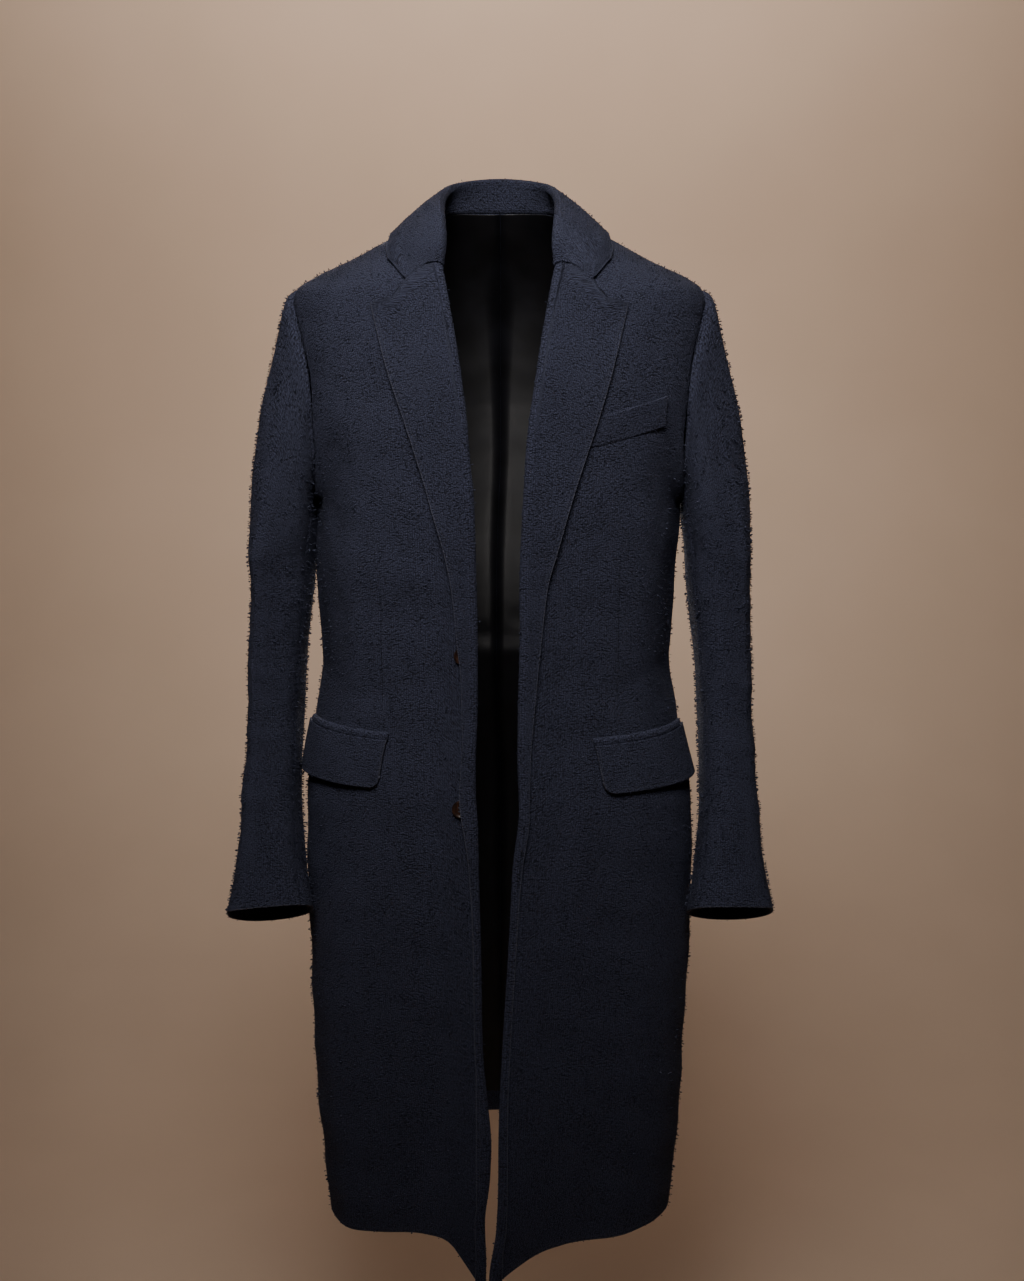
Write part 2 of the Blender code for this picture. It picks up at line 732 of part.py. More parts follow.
def sleeve_rows(side, first, last, columns):
    near = 2.5
    turns = [first] + [first + near + (last - first - 2.0 * near) * i / (columns - 2)
                       for i in range(columns - 1)] + [last]
    rows = [[head_point(side, share, turn) for turn in turns] for share in HEAD_SHARES]
    rows += [[sleeve_ring(side, station, turn) for turn in turns] for station in SLEEVE]
    for row in rows:
        row[0] = row[0] + (row[1] - row[0]).normalized() * SLEEVE_SEAM / 2.0
        row[-1] = row[-1] + (row[-2] - row[-1]).normalized() * SLEEVE_SEAM / 2.0
    return rows


# ------------------------------------------------------------------ pockets
FLAP_SHARES = (0.0, 0.015, 0.040, 0.075, 0.17, 0.30, 0.43, 0.57, 0.71, 0.86, 1.0)
FLAP_ROUND = 0.075        # share of the flap that its round corner takes
FLAP_TOP = {1: -0.5225, -1: -0.5175}
FLAP_DEEP = 0.050
FLAP_CORNER = 0.010       # radius of its lower front corner
FLAP_SLANT = {1: 0.9, -1: 1.6}      # how far its front end slants back, degrees
FLAP_INNER = {1: 0.1010, -1: 0.1100}
FLAP_END = 6.0
JET_DEEP = 0.0065
JET_END = 12.0
JET_ABOVE = 0.0006        # jet above the flap


def flap_rows(side):
    top = FLAP_TOP[side]
    rows = []
    start = angle_at(FLAP_INNER[side], top)
    for j in range(5):
        v = j / 4.0
        row = []
        for u in FLAP_SHARES:
            near = max(0.0, 1.0 - u / FLAP_ROUND)
            corner = FLAP_CORNER * (1.0 - math.sqrt(1.0 - near * near))
            z = top - (FLAP_DEEP + 0.005 * u - corner) * v
            angle = start * (1.0 - u) + FLAP_END * u - FLAP_SLANT[side] * v * (1.0 - u)
            row.append(torso(side, angle, z, LIFT + (0.0020 + 0.0024 * u * u) * v)[0])
        rows.append(row)
    return rows


def jet_rows(side):
    low = FLAP_TOP[side] + JET_ABOVE
    start = angle_at(FLAP_INNER[side] - 0.001, low)
    rows = []
    for j in range(3):
        z = low + JET_DEEP * j / 2.0
        row = []
        for k in range(13):
            u = k / 12.0
            angle = start * (1.0 - u) + JET_END * u
            row.append(torso(side, angle, z, LIFT)[0])
        rows.append(row)
    return rows


WELT_TOP = ((0.0985, -0.1870), (0.1650, -0.1690))
WELT_DEEP = 0.030


def welt_rows(side):
    rows = []
    for j in range(4):
        v = j / 3.0
        row = []
        for i in range(6):
            u = i / 5.0
            x = WELT_TOP[0][0] * (1.0 - u) + WELT_TOP[1][0] * u
            z = WELT_TOP[0][1] * (1.0 - u) + WELT_TOP[1][1] * u - WELT_DEEP * v
            if i == 0:
                x = lapel_x(side, z) + 0.0040
            row.append(torso(side, angle_at(x, z), z, LIFT)[0])
        rows.append(row)
    return rows


# ------------------------------------------------------------------ buttons
def button(name, side, z, centre):
    """Turned horn disc with a raised rim, seated on the front."""
    angle = angle_at(centre, z)
    seat, out = torso(side, angle, z, WALL / 2.0 + 0.0005)
    profile = ((0.0, 0.0), (BUTTON_RADIUS * 0.80, 0.0), (BUTTON_RADIUS, 0.0012),
               (BUTTON_RADIUS, 0.0026), (BUTTON_RADIUS * 0.93, BUTTON_THICK),
               (BUTTON_RADIUS * 0.76, BUTTON_THICK), (BUTTON_RADIUS * 0.66, 0.0026), (0.0, 0.0026))
    bm = bmesh.new()
    verts = [bm.verts.new((r, 0.0, h)) for r, h in profile]
    edges = [bm.edges.new(pair) for pair in zip(verts, verts[1:])]
    bmesh.ops.spin(bm, geom=verts + edges, axis=(0.0, 0.0, 1.0), cent=(0.0, 0.0, 0.0),
                   angle=math.tau, steps=20, use_duplicate=False)
    bmesh.ops.remove_doubles(bm, verts=bm.verts, dist=0.00005)
    bmesh.ops.recalc_face_normals(bm, faces=bm.faces)
    turn = out.to_track_quat("Z", "Y").to_matrix().to_4x4()
    turn.translation = seat
    bmesh.ops.transform(bm, matrix=turn, verts=bm.verts)
    mesh = bpy.data.meshes.new(name)
    bm.to_mesh(mesh)
    bm.free()
    return place(name, mesh, cloth(name + "_horn", "#4A2E1C", 0.35))


# ------------------------------------------------------------------ the coat
def build():
    start_scene()
    for side in (1, -1):
        word = side_name(side)
        sheet("back_" + word, back_rows(side))
        sheet("front_" + word, front_rows(side))
        sheet("lapel_" + word, lapel_rows(side), "#2E3040")
        sheet("top_sleeve_" + word, sleeve_rows(side, TOP_SLEEVE[0], TOP_SLEEVE[1], TOP_COLUMNS))
        sheet("under_sleeve_" + word,
              sleeve_rows(side, TOP_SLEEVE[1], TOP_SLEEVE[0] + 360.0, UNDER_COLUMNS), "#262936")
        sheet("pocket_flap_" + word, flap_rows(side), "#2E3140")
        sheet("pocket_jet_" + word, jet_rows(side), "#2E3140")
    sheet("collar", collar_rows(), "#2E3040")
    sheet("chest_welt", welt_rows(1), "#2E3140")
    for word, (z, centre) in zip(("upper", "lower"), BUTTONS):
        button("button_" + word, -1, z, centre)


build()
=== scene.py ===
"""Looks of the single-breasted wool overcoat: curled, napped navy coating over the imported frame.

Metres, +Z up. The front faces -Y and the wearer's left is +X. The cloth pieces are thin shells on
the forms of their solids, from the same named sizes and tables as the construction.
"""
import math

import bmesh
import bpy
import numpy as np
from mathutils import Matrix, Vector


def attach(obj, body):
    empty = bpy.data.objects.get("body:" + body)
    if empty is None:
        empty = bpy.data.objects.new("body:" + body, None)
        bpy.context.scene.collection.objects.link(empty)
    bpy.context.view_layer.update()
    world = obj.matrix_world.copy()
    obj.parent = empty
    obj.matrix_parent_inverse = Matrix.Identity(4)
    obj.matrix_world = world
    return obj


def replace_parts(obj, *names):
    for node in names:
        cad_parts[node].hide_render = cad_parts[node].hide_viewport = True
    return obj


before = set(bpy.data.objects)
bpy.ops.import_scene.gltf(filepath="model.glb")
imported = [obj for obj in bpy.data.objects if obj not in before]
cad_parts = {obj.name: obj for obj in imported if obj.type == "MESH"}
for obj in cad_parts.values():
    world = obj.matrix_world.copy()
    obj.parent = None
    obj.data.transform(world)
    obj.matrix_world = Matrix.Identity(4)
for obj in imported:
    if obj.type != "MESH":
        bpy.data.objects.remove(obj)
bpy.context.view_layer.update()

# ------------------------------------------------------------------ driving sizes of the cut
MM = 0.001
WALL = 0.003            # one finished layer of coating
SEAM_TURN = 0.02        # degrees left free at the side seams and armholes
LIFT = 0.0039           # middle of a piece lying on a panel, from the middle of that panel
SEAM = 0.00006          # space left at the centre back seam
SLEEVE_SEAM = 0.0003    # space at the sleeve seams
HEAD_LIFT = 0.0006      # sleeve head from the middle of the body cloth, where it is sewn in

ARMPIT = -0.285         # height of the lowest point of the armhole
SHOULDER_TIP = -0.067   # height of the end of the shoulder seam
GORGE = -0.047          # height where the lapel roll reaches the collar
BACK_NECK = 0.012       # height of the neck seam at centre back
SIDE = -6.0             # side seam, degrees behind the widest point
ARMHOLE_REACH = 24.5    # how far the armhole cuts forward and back, degrees
ARMHOLE_EASE = 1.30     # rows of a panel lie closer together towards the top of the armhole

FACING_UNDER = 0.0037   # middle of the turned-in facing, behind the middle of the front
ROLL_RADIUS = 0.0057    # middle radius of the soft roll along the lapel
EDGE_RADIUS = 0.0041    # and of the flatter edge below it
ROLL_CLEAR = 0.0010     # centre of the roll, beyond the free edge of the front
FACING_DEPTH = 0.018    # facing turned in behind the front
STRIP_TOP = -0.600      # the rolled-out facing narrows from here
STRIP_END = -0.720      # to here, and is a plain edge below
STRIP_LEAST = 0.0020    # least width of that edge
EDGE_STITCH = 0.0042    # row of stitches in from a lapel, collar or flap edge
STAND_OFF = 0.0024      # edge of the lapel, held off the chest by its spring

# ------------------------------------------------------------------ section tables
# Body cloth by height: half width, depth in front, depth behind, squareness of the section.
BODY_COLUMNS = ("z", "half", "front", "back", "square")
BODY = (
    (0.030, 0.0760, 0.046, 0.060, 2.20),
    (0.012, 0.0790, 0.050, 0.066, 2.20),
    (0.000, 0.0840, 0.056, 0.072, 2.20),
    (-0.016, 0.1130, 0.068, 0.080, 2.20),
    (-0.036, 0.1500, 0.082, 0.091, 2.20),
    (-0.056, 0.1925, 0.095, 0.100, 2.25),
    (-0.067, 0.2085, 0.101, 0.104, 2.30),
    (-0.080, 0.2130, 0.107, 0.108, 2.30),
    (-0.100, 0.2110, 0.114, 0.113, 2.30),
    (-0.150, 0.2060, 0.127, 0.121, 2.30),
    (-0.200, 0.2022, 0.133, 0.125, 2.30),
    (-0.240, 0.1965, 0.135, 0.125, 2.30),
    (-0.285, 0.1925, 0.136, 0.123, 2.30),
    (-0.330, 0.1920, 0.134, 0.119, 2.30),
    (-0.393, 0.1905, 0.130, 0.112, 2.25),
    (-0.459, 0.1865, 0.127, 0.108, 2.25),
    (-0.503, 0.1930, 0.128, 0.112, 2.25),
    (-0.550, 0.2000, 0.131, 0.121, 2.30),
    (-0.600, 0.2060, 0.133, 0.129, 2.30),
    (-0.680, 0.2085, 0.132, 0.135, 2.35),
    (-0.760, 0.2075, 0.130, 0.139, 2.35),
    (-0.850, 0.2050, 0.127, 0.143, 2.35),
    (-0.950, 0.2013, 0.123, 0.147, 2.30),
    (-1.040, 0.1955, 0.119, 0.150, 2.20),
    (-1.130, 0.1865, 0.115, 0.152, 2.05),
)

TIP_FORWARD = 0.034     # the lower front corners hang forward
TIP_FROM = 0.075        # from this far out from the axis
TIP_TO = -0.012         # to this far beyond it

# The body hangs a little to the wearer's right: height, shift along X.
SWAY = (
    (-0.250, 0.0),
    (-0.380, -0.0045),
    (-0.520, -0.0045),
    (-0.620, -0.0005),
    (-0.800, -0.0012),
    (-1.130, -0.0018),
)

# Roll line and lapel edge, out from the axis, for the wearer's left and right.
EDGE_COLUMNS = ("z", "left", "right")
ROLL_LINE = (
    (-0.030, 0.0570, 0.0570),
    (-0.047, 0.0535, 0.0545),
    (-0.073, 0.0480, 0.0493),
    (-0.112, 0.0408, 0.0421),
    (-0.151, 0.0348, 0.0360),
    (-0.190, 0.0290, 0.0312),
    (-0.230, 0.0252, 0.0282),
    (-0.270, 0.0238, 0.0238),
    (-0.330, 0.0236, 0.0196),
    (-0.400, 0.0246, 0.0170),
    (-0.470, 0.0230, 0.0172),
    (-0.530, 0.0222, 0.0196),
    (-0.580, 0.0214, 0.0215),
    (-0.645, 0.0140, 0.0208),
    (-0.730, 0.0100, 0.0185),
    (-0.850, 0.0035, 0.0165),
    (-0.905, 0.0008, 0.0117),
    (-0.957, -0.0005, 0.0076),
    (-0.992, -0.0007, 0.0088),
    (-1.050, -0.0028, 0.0143),
    (-1.098, -0.0100, 0.0130),
    (-1.130, -0.0115, 0.0135),
)
LAPEL_EDGE = (
    (-0.078, 0.1262, 0.1262),
    (-0.125, 0.1160, 0.1135),
    (-0.165, 0.1048, 0.1030),
    (-0.212, 0.0895, 0.0850),
    (-0.250, 0.0763, 0.0730),
    (-0.277, 0.0690, 0.0648),
    (-0.321, 0.0588, 0.0505),
    (-0.354, 0.0514, 0.0432),
    (-0.383, 0.0483, 0.0397),
    (-0.413, 0.0454, 0.0374),
    (-0.450, 0.0420, 0.0338),
    (-0.515, 0.0366, 0.0328),
    (-0.580, 0.0320, 0.0383),
    (-0.640, 0.0238, 0.0318),
    (-0.680, 0.0200, 0.0290),
    (-0.720, 0.0175, 0.0268),
    (-1.130, 0.0000, 0.0200),
)

# Height of the hem by direction round the body, for the wearer's left and right.
HEM_COLUMNS = ("angle", "left", "right")
HEM = (
    (-90.0, -1.0480, -1.0480),
    (-45.0, -1.0640, -1.0650),
    (-6.0, -1.0860, -1.0890),
    (20.0, -1.0825, -1.0890),
    (34.0, -1.0800, -1.0850),
    (47.0, -1.0840, -1.0800),
    (60.0, -1.0833, -1.0745),
    (67.0, -1.0828, -1.0722),
    (72.0, -1.0840, -1.0722),
    (75.5, -1.0850, -1.0760),
    (79.0, -1.0880, -1.0920),
    (82.0, -1.0922, -1.1075),
    (84.5, -1.0965, -1.1190),
    (87.5, -1.1025, -1.1240),
    (90.0, -1.1084, -1.1260),
)

# Soft folds of the skirt and back: side, direction, heights where each starts and is full, width
# in degrees and rise.
FOLDS = (
    (1, -66.0, -0.480, -0.900, 10.0, 0.0070),
    (-1, -66.0, -0.520, -0.950, 11.0, 0.0055),
    (1, -33.0, -0.560, -0.950, 9.0, 0.0050),
    (-1, -33.0, -0.540, -0.920, 9.0, 0.0065),
    (1, 34.0, -0.640, -0.980, 9.0, 0.0035),
    (-1, 34.0, -0.640, -0.980, 9.0, 0.0040),
    (1, 62.0, -0.660, -1.000, 8.0, -0.0040),
    (-1, 62.0, -0.660, -1.000, 8.0, -0.0035),
)

# Sleeve below the armhole: centre, half width, half depth, how far the ring tips forward.
SLEEVE_COLUMNS = ("z", "x", "y", "half", "depth", "tip")
SLEEVE = (
    (-0.335, 0.2300, 0.006, 0.0318, 0.078, 0.0),
    (-0.370, 0.2312, 0.008, 0.0303, 0.075, 2.0),
    (-0.410, 0.2345, 0.008, 0.0287, 0.073, 4.0),
    (-0.455, 0.2378, 0.005, 0.0272, 0.071, 8.0),
    (-0.500, 0.2400, -0.002, 0.0260, 0.069, 12.0),
    (-0.545, 0.2413, -0.013, 0.0256, 0.067, 16.0),
    (-0.590, 0.2432, -0.027, 0.0270, 0.065, 20.0),
    (-0.635, 0.2440, -0.043, 0.0302, 0.063, 22.5),
    (-0.680, 0.2438, -0.060, 0.0362, 0.062, 24.5),
    (-0.717, 0.2440, -0.075, 0.0438, 0.061, 26.0),
)

# Neck seam of the front from the roll to the neck point: share, out from the axis, height.
NECK_COLUMNS = ("share", "out", "z")
NECK = (
    (0.00, 0.0620, -0.0470),
    (0.25, 0.0715, -0.0340),
    (0.50, 0.0790, -0.0210),
    (0.75, 0.0825, -0.0090),
    (1.00, 0.0840, 0.0000),
)

# Collar stations from the gorge to centre back, four to the neck point and four behind it:
# the fold, and the direction and height of the leaf edge.
COLLAR = (
    (0.0575, -0.0770, -0.0200, 37.0, -0.0290),
    (0.0590, -0.0540, 0.0000, 27.0, -0.0205),
    (0.0608, -0.0290, 0.0130, 15.0, -0.0150),
    (0.0608, -0.0020, 0.0235, 1.0, -0.0120),
    (0.0575, 0.0250, 0.0315, -16.0, -0.0125),
    (0.0480, 0.0480, 0.0375, -36.0, -0.0135),
    (0.0280, 0.0680, 0.0415, -62.0, -0.0145),
    (0.0000, 0.0755, 0.0430, -90.0, -0.0150),
)


# ------------------------------------------------------------------ reading the tables
def eased(rows, x):
    """Values at x from (position, value) rows, smooth and without overshoot."""
    at, value = np.array(sorted(rows), dtype=float).T
    slope = np.diff(value) / np.diff(at)
    both = slope[1:] * slope[:-1]
    total = slope[1:] + slope[:-1]
    inner = np.where(both > 0.0, 2.0 * both / np.where(both > 0.0, total, 1.0), 0.0)
    tangent = np.concatenate(([slope[0]], inner, [slope[-1]]))
    x = np.clip(np.asarray(x, dtype=float), at[0], at[-1])
    k = np.clip(np.searchsorted(at, x) - 1, 0, len(slope) - 1)
    span = at[k + 1] - at[k]
    t = (x - at[k]) / span
    return (value[k] * (2 * t ** 3 - 3 * t ** 2 + 1)
            + tangent[k] * span * (t ** 3 - 2 * t ** 2 + t)
            + value[k + 1] * (3 * t ** 2 - 2 * t ** 3)
            + tangent[k + 1] * span * (t ** 3 - t ** 2))


def read(table, columns, name, x):
    """One named column of a table, read at x in its first column."""
    k = columns.index(name)
    return eased([(row[0], row[k]) for row in table], x)


def read_all(table, columns, x):
    """All columns of a table after the first."""
    return (read(table, columns, name, x) for name in columns[1:])


def ramp(x, low, high):
    """0 at low, 1 at high, soft at both ends."""
    t = np.clip((x - low) / (high - low), 0.0, 1.0)
    return t * t * (3.0 - 2.0 * t)


def bell(x, middle, wide):
    """1 at the middle, falling away smoothly on both sides."""
    return np.exp(-((x - middle) / wide) ** 2)


def cosine(turn):
    return np.cos(np.radians(turn))


def sine(turn):
    return np.sin(np.radians(turn))


def signed_power(value, power):
    return np.copysign(np.abs(value) ** power, value)


def side_name(side):
    return "left" if side > 0 else "right"


def vectors(*parts):
    """Points from their X, Y and Z arrays."""
    return np.stack(np.broadcast_arrays(*parts), axis=-1).astype(float)


def unit(v):
    return v / np.maximum(np.linalg.norm(v, axis=-1, keepdims=True), 1e-12)


def dot(a, b):
    return np.sum(a * b, axis=-1)


# ------------------------------------------------------------------ the body surface
PROBE_TURN = 0.4          # degrees, and
PROBE_RISE = 0.002        # height, either way of a point where the surface's slope is read


def plain_torso(angle, z):
    """Points on the middle of the body cloth. 0 is the wearer's left side, 90 the front."""
    half, front, back, square = read_all(BODY, BODY_COLUMNS, z)
    in_front = sine(angle) > 0.0
    x = half * signed_power(cosine(angle), 2.0 / square)
    y = -np.where(in_front, front, back) * signed_power(sine(angle), 2.0 / square)
    near = np.clip((TIP_FROM - x) / (TIP_FROM - TIP_TO), 0.0, 1.0)
    forward = TIP_FORWARD * ramp(-z, 0.80, 1.10) * near ** 1.5
    return vectors(x, np.where(in_front, y - forward, y), z)


def fold_rise(side, angle, z):
    return sum(height * bell(angle, middle, width) * ramp(-z, -start, -full)
               for fold_side, middle, start, full, width, height in FOLDS if fold_side == side)


def torso(side, angle, z, lift=0.0):
    """Middle of the body cloth on one side of the axis moved out by lift, and its way out."""
    angle, z = np.broadcast_arrays(np.asarray(angle, dtype=float), np.asarray(z, dtype=float))
    here = plain_torso(angle, z)
    along = plain_torso(angle + PROBE_TURN, z) - plain_torso(angle - PROBE_TURN, z)
    up = plain_torso(angle, z + PROBE_RISE) - plain_torso(angle, z - PROBE_RISE)
    out = unit(np.cross(up, along))
    inward = (dot(out, here * (1.0, 1.0, 0.0)) < 0.0) & (np.abs(out[..., 2]) < 0.999)
    out = np.where(inward[..., None], -out, out)
    here = here + out * np.asarray(lift + fold_rise(side, angle, z))[..., None]
    mirror = np.array((side, 1.0, 1.0))
    return here * mirror + vectors(eased(SWAY, z), 0.0 * z, 0.0 * z), out * mirror


def angle_at(x, z):
    """Direction of the point of the front that lies x out from the axis."""
    half, _, _, square = read_all(BODY, BODY_COLUMNS, z)
    return np.degrees(np.arccos(np.clip(signed_power(x / half, square / 2.0), -1.0, 1.0)))


def lapel_x(side, z):
    return read(LAPEL_EDGE, EDGE_COLUMNS, side_name(side), z)


def hem_z(side, angle):
    return read(HEM, HEM_COLUMNS, side_name(side), angle)


def roll_radius(z):
    return EDGE_RADIUS + (ROLL_RADIUS - EDGE_RADIUS) * ramp(z, STRIP_END, STRIP_TOP)


def roll_rise(z):
    """Centre of the roll, outside the middle of the front."""
    return roll_radius(z) - FACING_UNDER


def front_edge_x(side, z):
    """Free edge of the front panel, inside the roll of the facing."""
    roll_x = read(ROLL_LINE, EDGE_COLUMNS, side_name(side), z)
    return roll_x + WALL / 2.0 + roll_radius(z) + ROLL_CLEAR


def armhole(turn):
    """Direction and height on the armhole. 0 is the top, 90 the front, 180 the armpit."""
    c = cosine(turn)
    angle = ARMHOLE_REACH * sine(turn) * (1.0 - 0.12 * c) + SIDE * (1.0 - c) / 2.0
    return angle, (SHOULDER_TIP + ARMPIT) / 2.0 + (SHOULDER_TIP - ARMPIT) / 2.0 * c


def coons(left, right, bottom, top, u, v):
    """Blend of four border curves of (direction, height)."""
    def mix(a, b, t):
        return a[0] * (1.0 - t) + b[0] * t, a[1] * (1.0 - t) + b[1] * t

    zero, one = np.zeros_like(u), np.ones_like(u)
    ruled = [a + b for a, b in zip(mix(bottom(u), top(u), v), mix(left(v), right(v), u))]
    low = mix(bottom(zero), bottom(one), u)
    high = mix(top(zero), top(one), u)
    return [a - b for a, b in zip(ruled, mix(low, high, v))]


# ------------------------------------------------------------------ making cloth
def stops(count, left=(), right=()):
    """Shares from 0 to 1: an even run, with the closer ones given at either end."""
    low = left[-1] if left else 0.0
    high = 1.0 - (right[-1] if right else 0.0)
    shares = [0.0, *left, *np.linspace(low, high, count + 1), *(1.0 - r for r in right), 1.0]
    return np.unique(np.round(shares, 6))


def ways_out(points, towards):
    """Way out of a grid of points, on the side that the towards vectors point to."""
    out = unit(np.cross(np.gradient(points, axis=1), np.gradient(points, axis=0)))
    return np.where(dot(out, towards)[..., None] < 0.0, -out, out)


def border_distance(points, side):
    """Distance of each point of a grid from its left, right, bottom or top border, along it."""
    axis = 1 if side in ("left", "right") else 0
    steps = np.linalg.norm(np.diff(points, axis=axis), axis=-1)
    if side in ("right", "top"):
        steps = np.flip(steps, axis=axis)
    far = np.cumsum(steps, axis=axis)
    far = np.concatenate((np.zeros_like(np.take(far, [0], axis=axis)), far), axis=axis)
    return np.flip(far, axis=axis) if side in ("right", "top") else far


def nearest_border(points, *borders):
    return np.minimum.reduce([border_distance(points, border) for border in borders])


def seam_dip(points, border, deep=0.0013, wide=0.0026):
    """The cloth sinks a little into a sewn seam."""
    return -deep * bell(border_distance(points, border), 0.0, wide)


def stitch_groove(distance, inset=EDGE_STITCH, deep=0.00028, wide=0.0012):
    """Shallow channel pulled in by a row of stitches, a set distance from an edge."""
    return -deep * bell(distance, inset, wide)


def raised(points, out, rise):
    return points + out * rise[..., None]


def creases(table, across, height):
    """Rise of all creases of a table. Each is a trough or ridge with one steeper flank.

    A row gives place across and height, half length, half width, rise, slant in degrees and bow.
    """
    rise = np.zeros(np.broadcast(across, height).shape)
    for middle, level, half_long, half_wide, full, slant, bow in table:
        c, s = math.cos(math.radians(slant)), math.sin(math.radians(slant))
        along = ((across - middle) * c + (height - level) * s) / half_long
        aside = (-(across - middle) * s + (height - level) * c - bow * along ** 2) / half_wide
        taper = np.clip(1.0 - along ** 2, 0.0, 1.0) ** 1.5
        rise += full * np.exp(-aside ** 2) * (1.0 - 0.45 * aside) * taper
    return rise


def unevenness(across, height, seed, size=0.10, rise=0.0008):
    """Gentle waviness of hanging cloth, from a few crossing waves."""
    rng = np.random.default_rng(seed)
    total = np.zeros(np.broadcast(across, height).shape)
    for _ in range(5):
        turn = rng.uniform(0.0, math.pi)
        length = size * rng.uniform(0.6, 1.6)
        phase = rng.uniform(0.0, math.tau)
        reach = across * math.cos(turn) + height * math.sin(turn)
        total += np.sin(reach * math.tau / length + phase)
    return rise * total / 2.2


# ------------------------------------------------------------------ fronts and back
HEM_SHARES = (0.002, 0.004, 0.007)       # closer rows and columns of a panel at its borders
SEAM_SHARES = (0.005, 0.010, 0.017, 0.028)
SHOULDER_SHARES = (0.004, 0.009, 0.016)
ROLL_SHARE = 7.0 / 11.0   # of a front's upper rows, the rest meet the neck seam
NECK_SHARE = 4.0 / 9.0    # of a back's columns, the rest meet the shoulder seam
SEAM_RIDGE = 0.16         # degrees left free at the shoulder seam
SIDE_FALL = 0.0080        # the front falls back a little beside the sleeve

# Darts, for the wearer's left and right: distance from the axis, top and lower end.
DARTS = {1: (0.1200, -0.322, -0.500), -1: (0.1195, -0.345, -0.495)}

FRONT_CREASES = {
    1: ((0.150, -0.250, 0.070, 0.013, -0.0016, 62.0, 0.006),
        (0.168, -0.330, 0.060, 0.012, 0.0014, 75.0, 0.004),
        (0.150, -0.455, 0.050, 0.010, -0.0012, 12.0, 0.004),
        (0.075, -0.640, 0.150, 0.017, 0.0022, 86.0, 0.005),
        (0.145, -0.860, 0.200, 0.020, 0.0030, 92.0, 0.006),
        (0.060, -0.900, 0.160, 0.016, -0.0024, 88.0, -0.004)),
    -1: ((0.152, -0.240, 0.065, 0.012, -0.0015, 60.0, 0.006),
         (0.165, -0.345, 0.055, 0.012, 0.0016, 74.0, 0.004),
         (0.150, -0.470, 0.055, 0.011, -0.0013, 8.0, 0.004),
         (0.080, -0.660, 0.170, 0.018, 0.0024, 94.0, -0.005),
         (0.150, -0.840, 0.180, 0.019, 0.0028, 88.0, 0.006),
         (0.070, -0.930, 0.150, 0.016, -0.0022, 92.0, 0.004)),
}

BACK_CREASES = (
    (0.120, -0.180, 0.080, 0.014, -0.0018, 66.0, 0.008),
    (-0.125, -0.190, 0.075, 0.014, -0.0018, 114.0, -0.008),
    (0.060, -0.430, 0.070, 0.011, 0.0022, 6.0, 0.006),
    (-0.045, -0.448, 0.080, 0.012, 0.0020, -5.0, 0.006),
    (0.020, -0.468, 0.060, 0.010, -0.0016, 4.0, 0.005),
    (0.130, -0.440, 0.050, 0.011, 0.0018, 18.0, 0.004),
    (-0.130, -0.425, 0.055, 0.011, 0.0020, -16.0, 0.004),
    (0.070, -0.820, 0.220, 0.024, 0.0040, 91.0, 0.008),
    (-0.085, -0.850, 0.210, 0.026, 0.0038, 88.0, -0.006),
    (0.000, -0.900, 0.180, 0.022, -0.0028, 90.0, 0.005),
)


def front_neck(side, t):
    """Front neck seam as (direction, height), from the roll at 0 to the neck point at 1."""
    out, z = read_all(NECK, NECK_COLUMNS, t)
    out = out + (front_edge_x(side, GORGE) - NECK[0][1]) * (1.0 - t) ** 2
    return np.maximum(SEAM_RIDGE, angle_at(out, z)), z


def back_neck(t):
    """Back neck seam, from the neck point at 0 to centre back at 1."""
    return np.minimum(-SEAM_RIDGE, -90.0 * t), BACK_NECK * ramp(t, 0.0, 0.7)


def body_panel(side, way, count, start, left, top):
    """Directions, heights, points and ways out of a front (way 1) or half back (-1), hem first."""
    seam = SIDE + way * SEAM_TURN

    def right(t):
        around = 180.0 * (1.0 - t) ** ARMHOLE_EASE
        turn, z = armhole(around if way > 0 else 360.0 - around)
        return turn + way * SEAM_TURN, z

    def bottom(t):
        return left(0.0 * t)[0] * (1.0 - t) + seam * t, ARMPIT + 0.0 * t

    columns = stops(count, right=SEAM_SHARES)
    u, v = np.meshgrid(columns, stops(150, left=HEM_SHARES))
    angle = start(v) * (1.0 - u) + seam * u
    lower = angle, hem_z(side, angle) * (1.0 - v) + ARMPIT * v
    u, v = np.meshgrid(columns, stops(62, right=SHOULDER_SHARES)[1:])
    upper = coons(left, right, bottom, top, u, v)
    angle, z = (np.concatenate(parts) for parts in zip(lower, upper))
    return angle, z, *torso(side, angle, z)


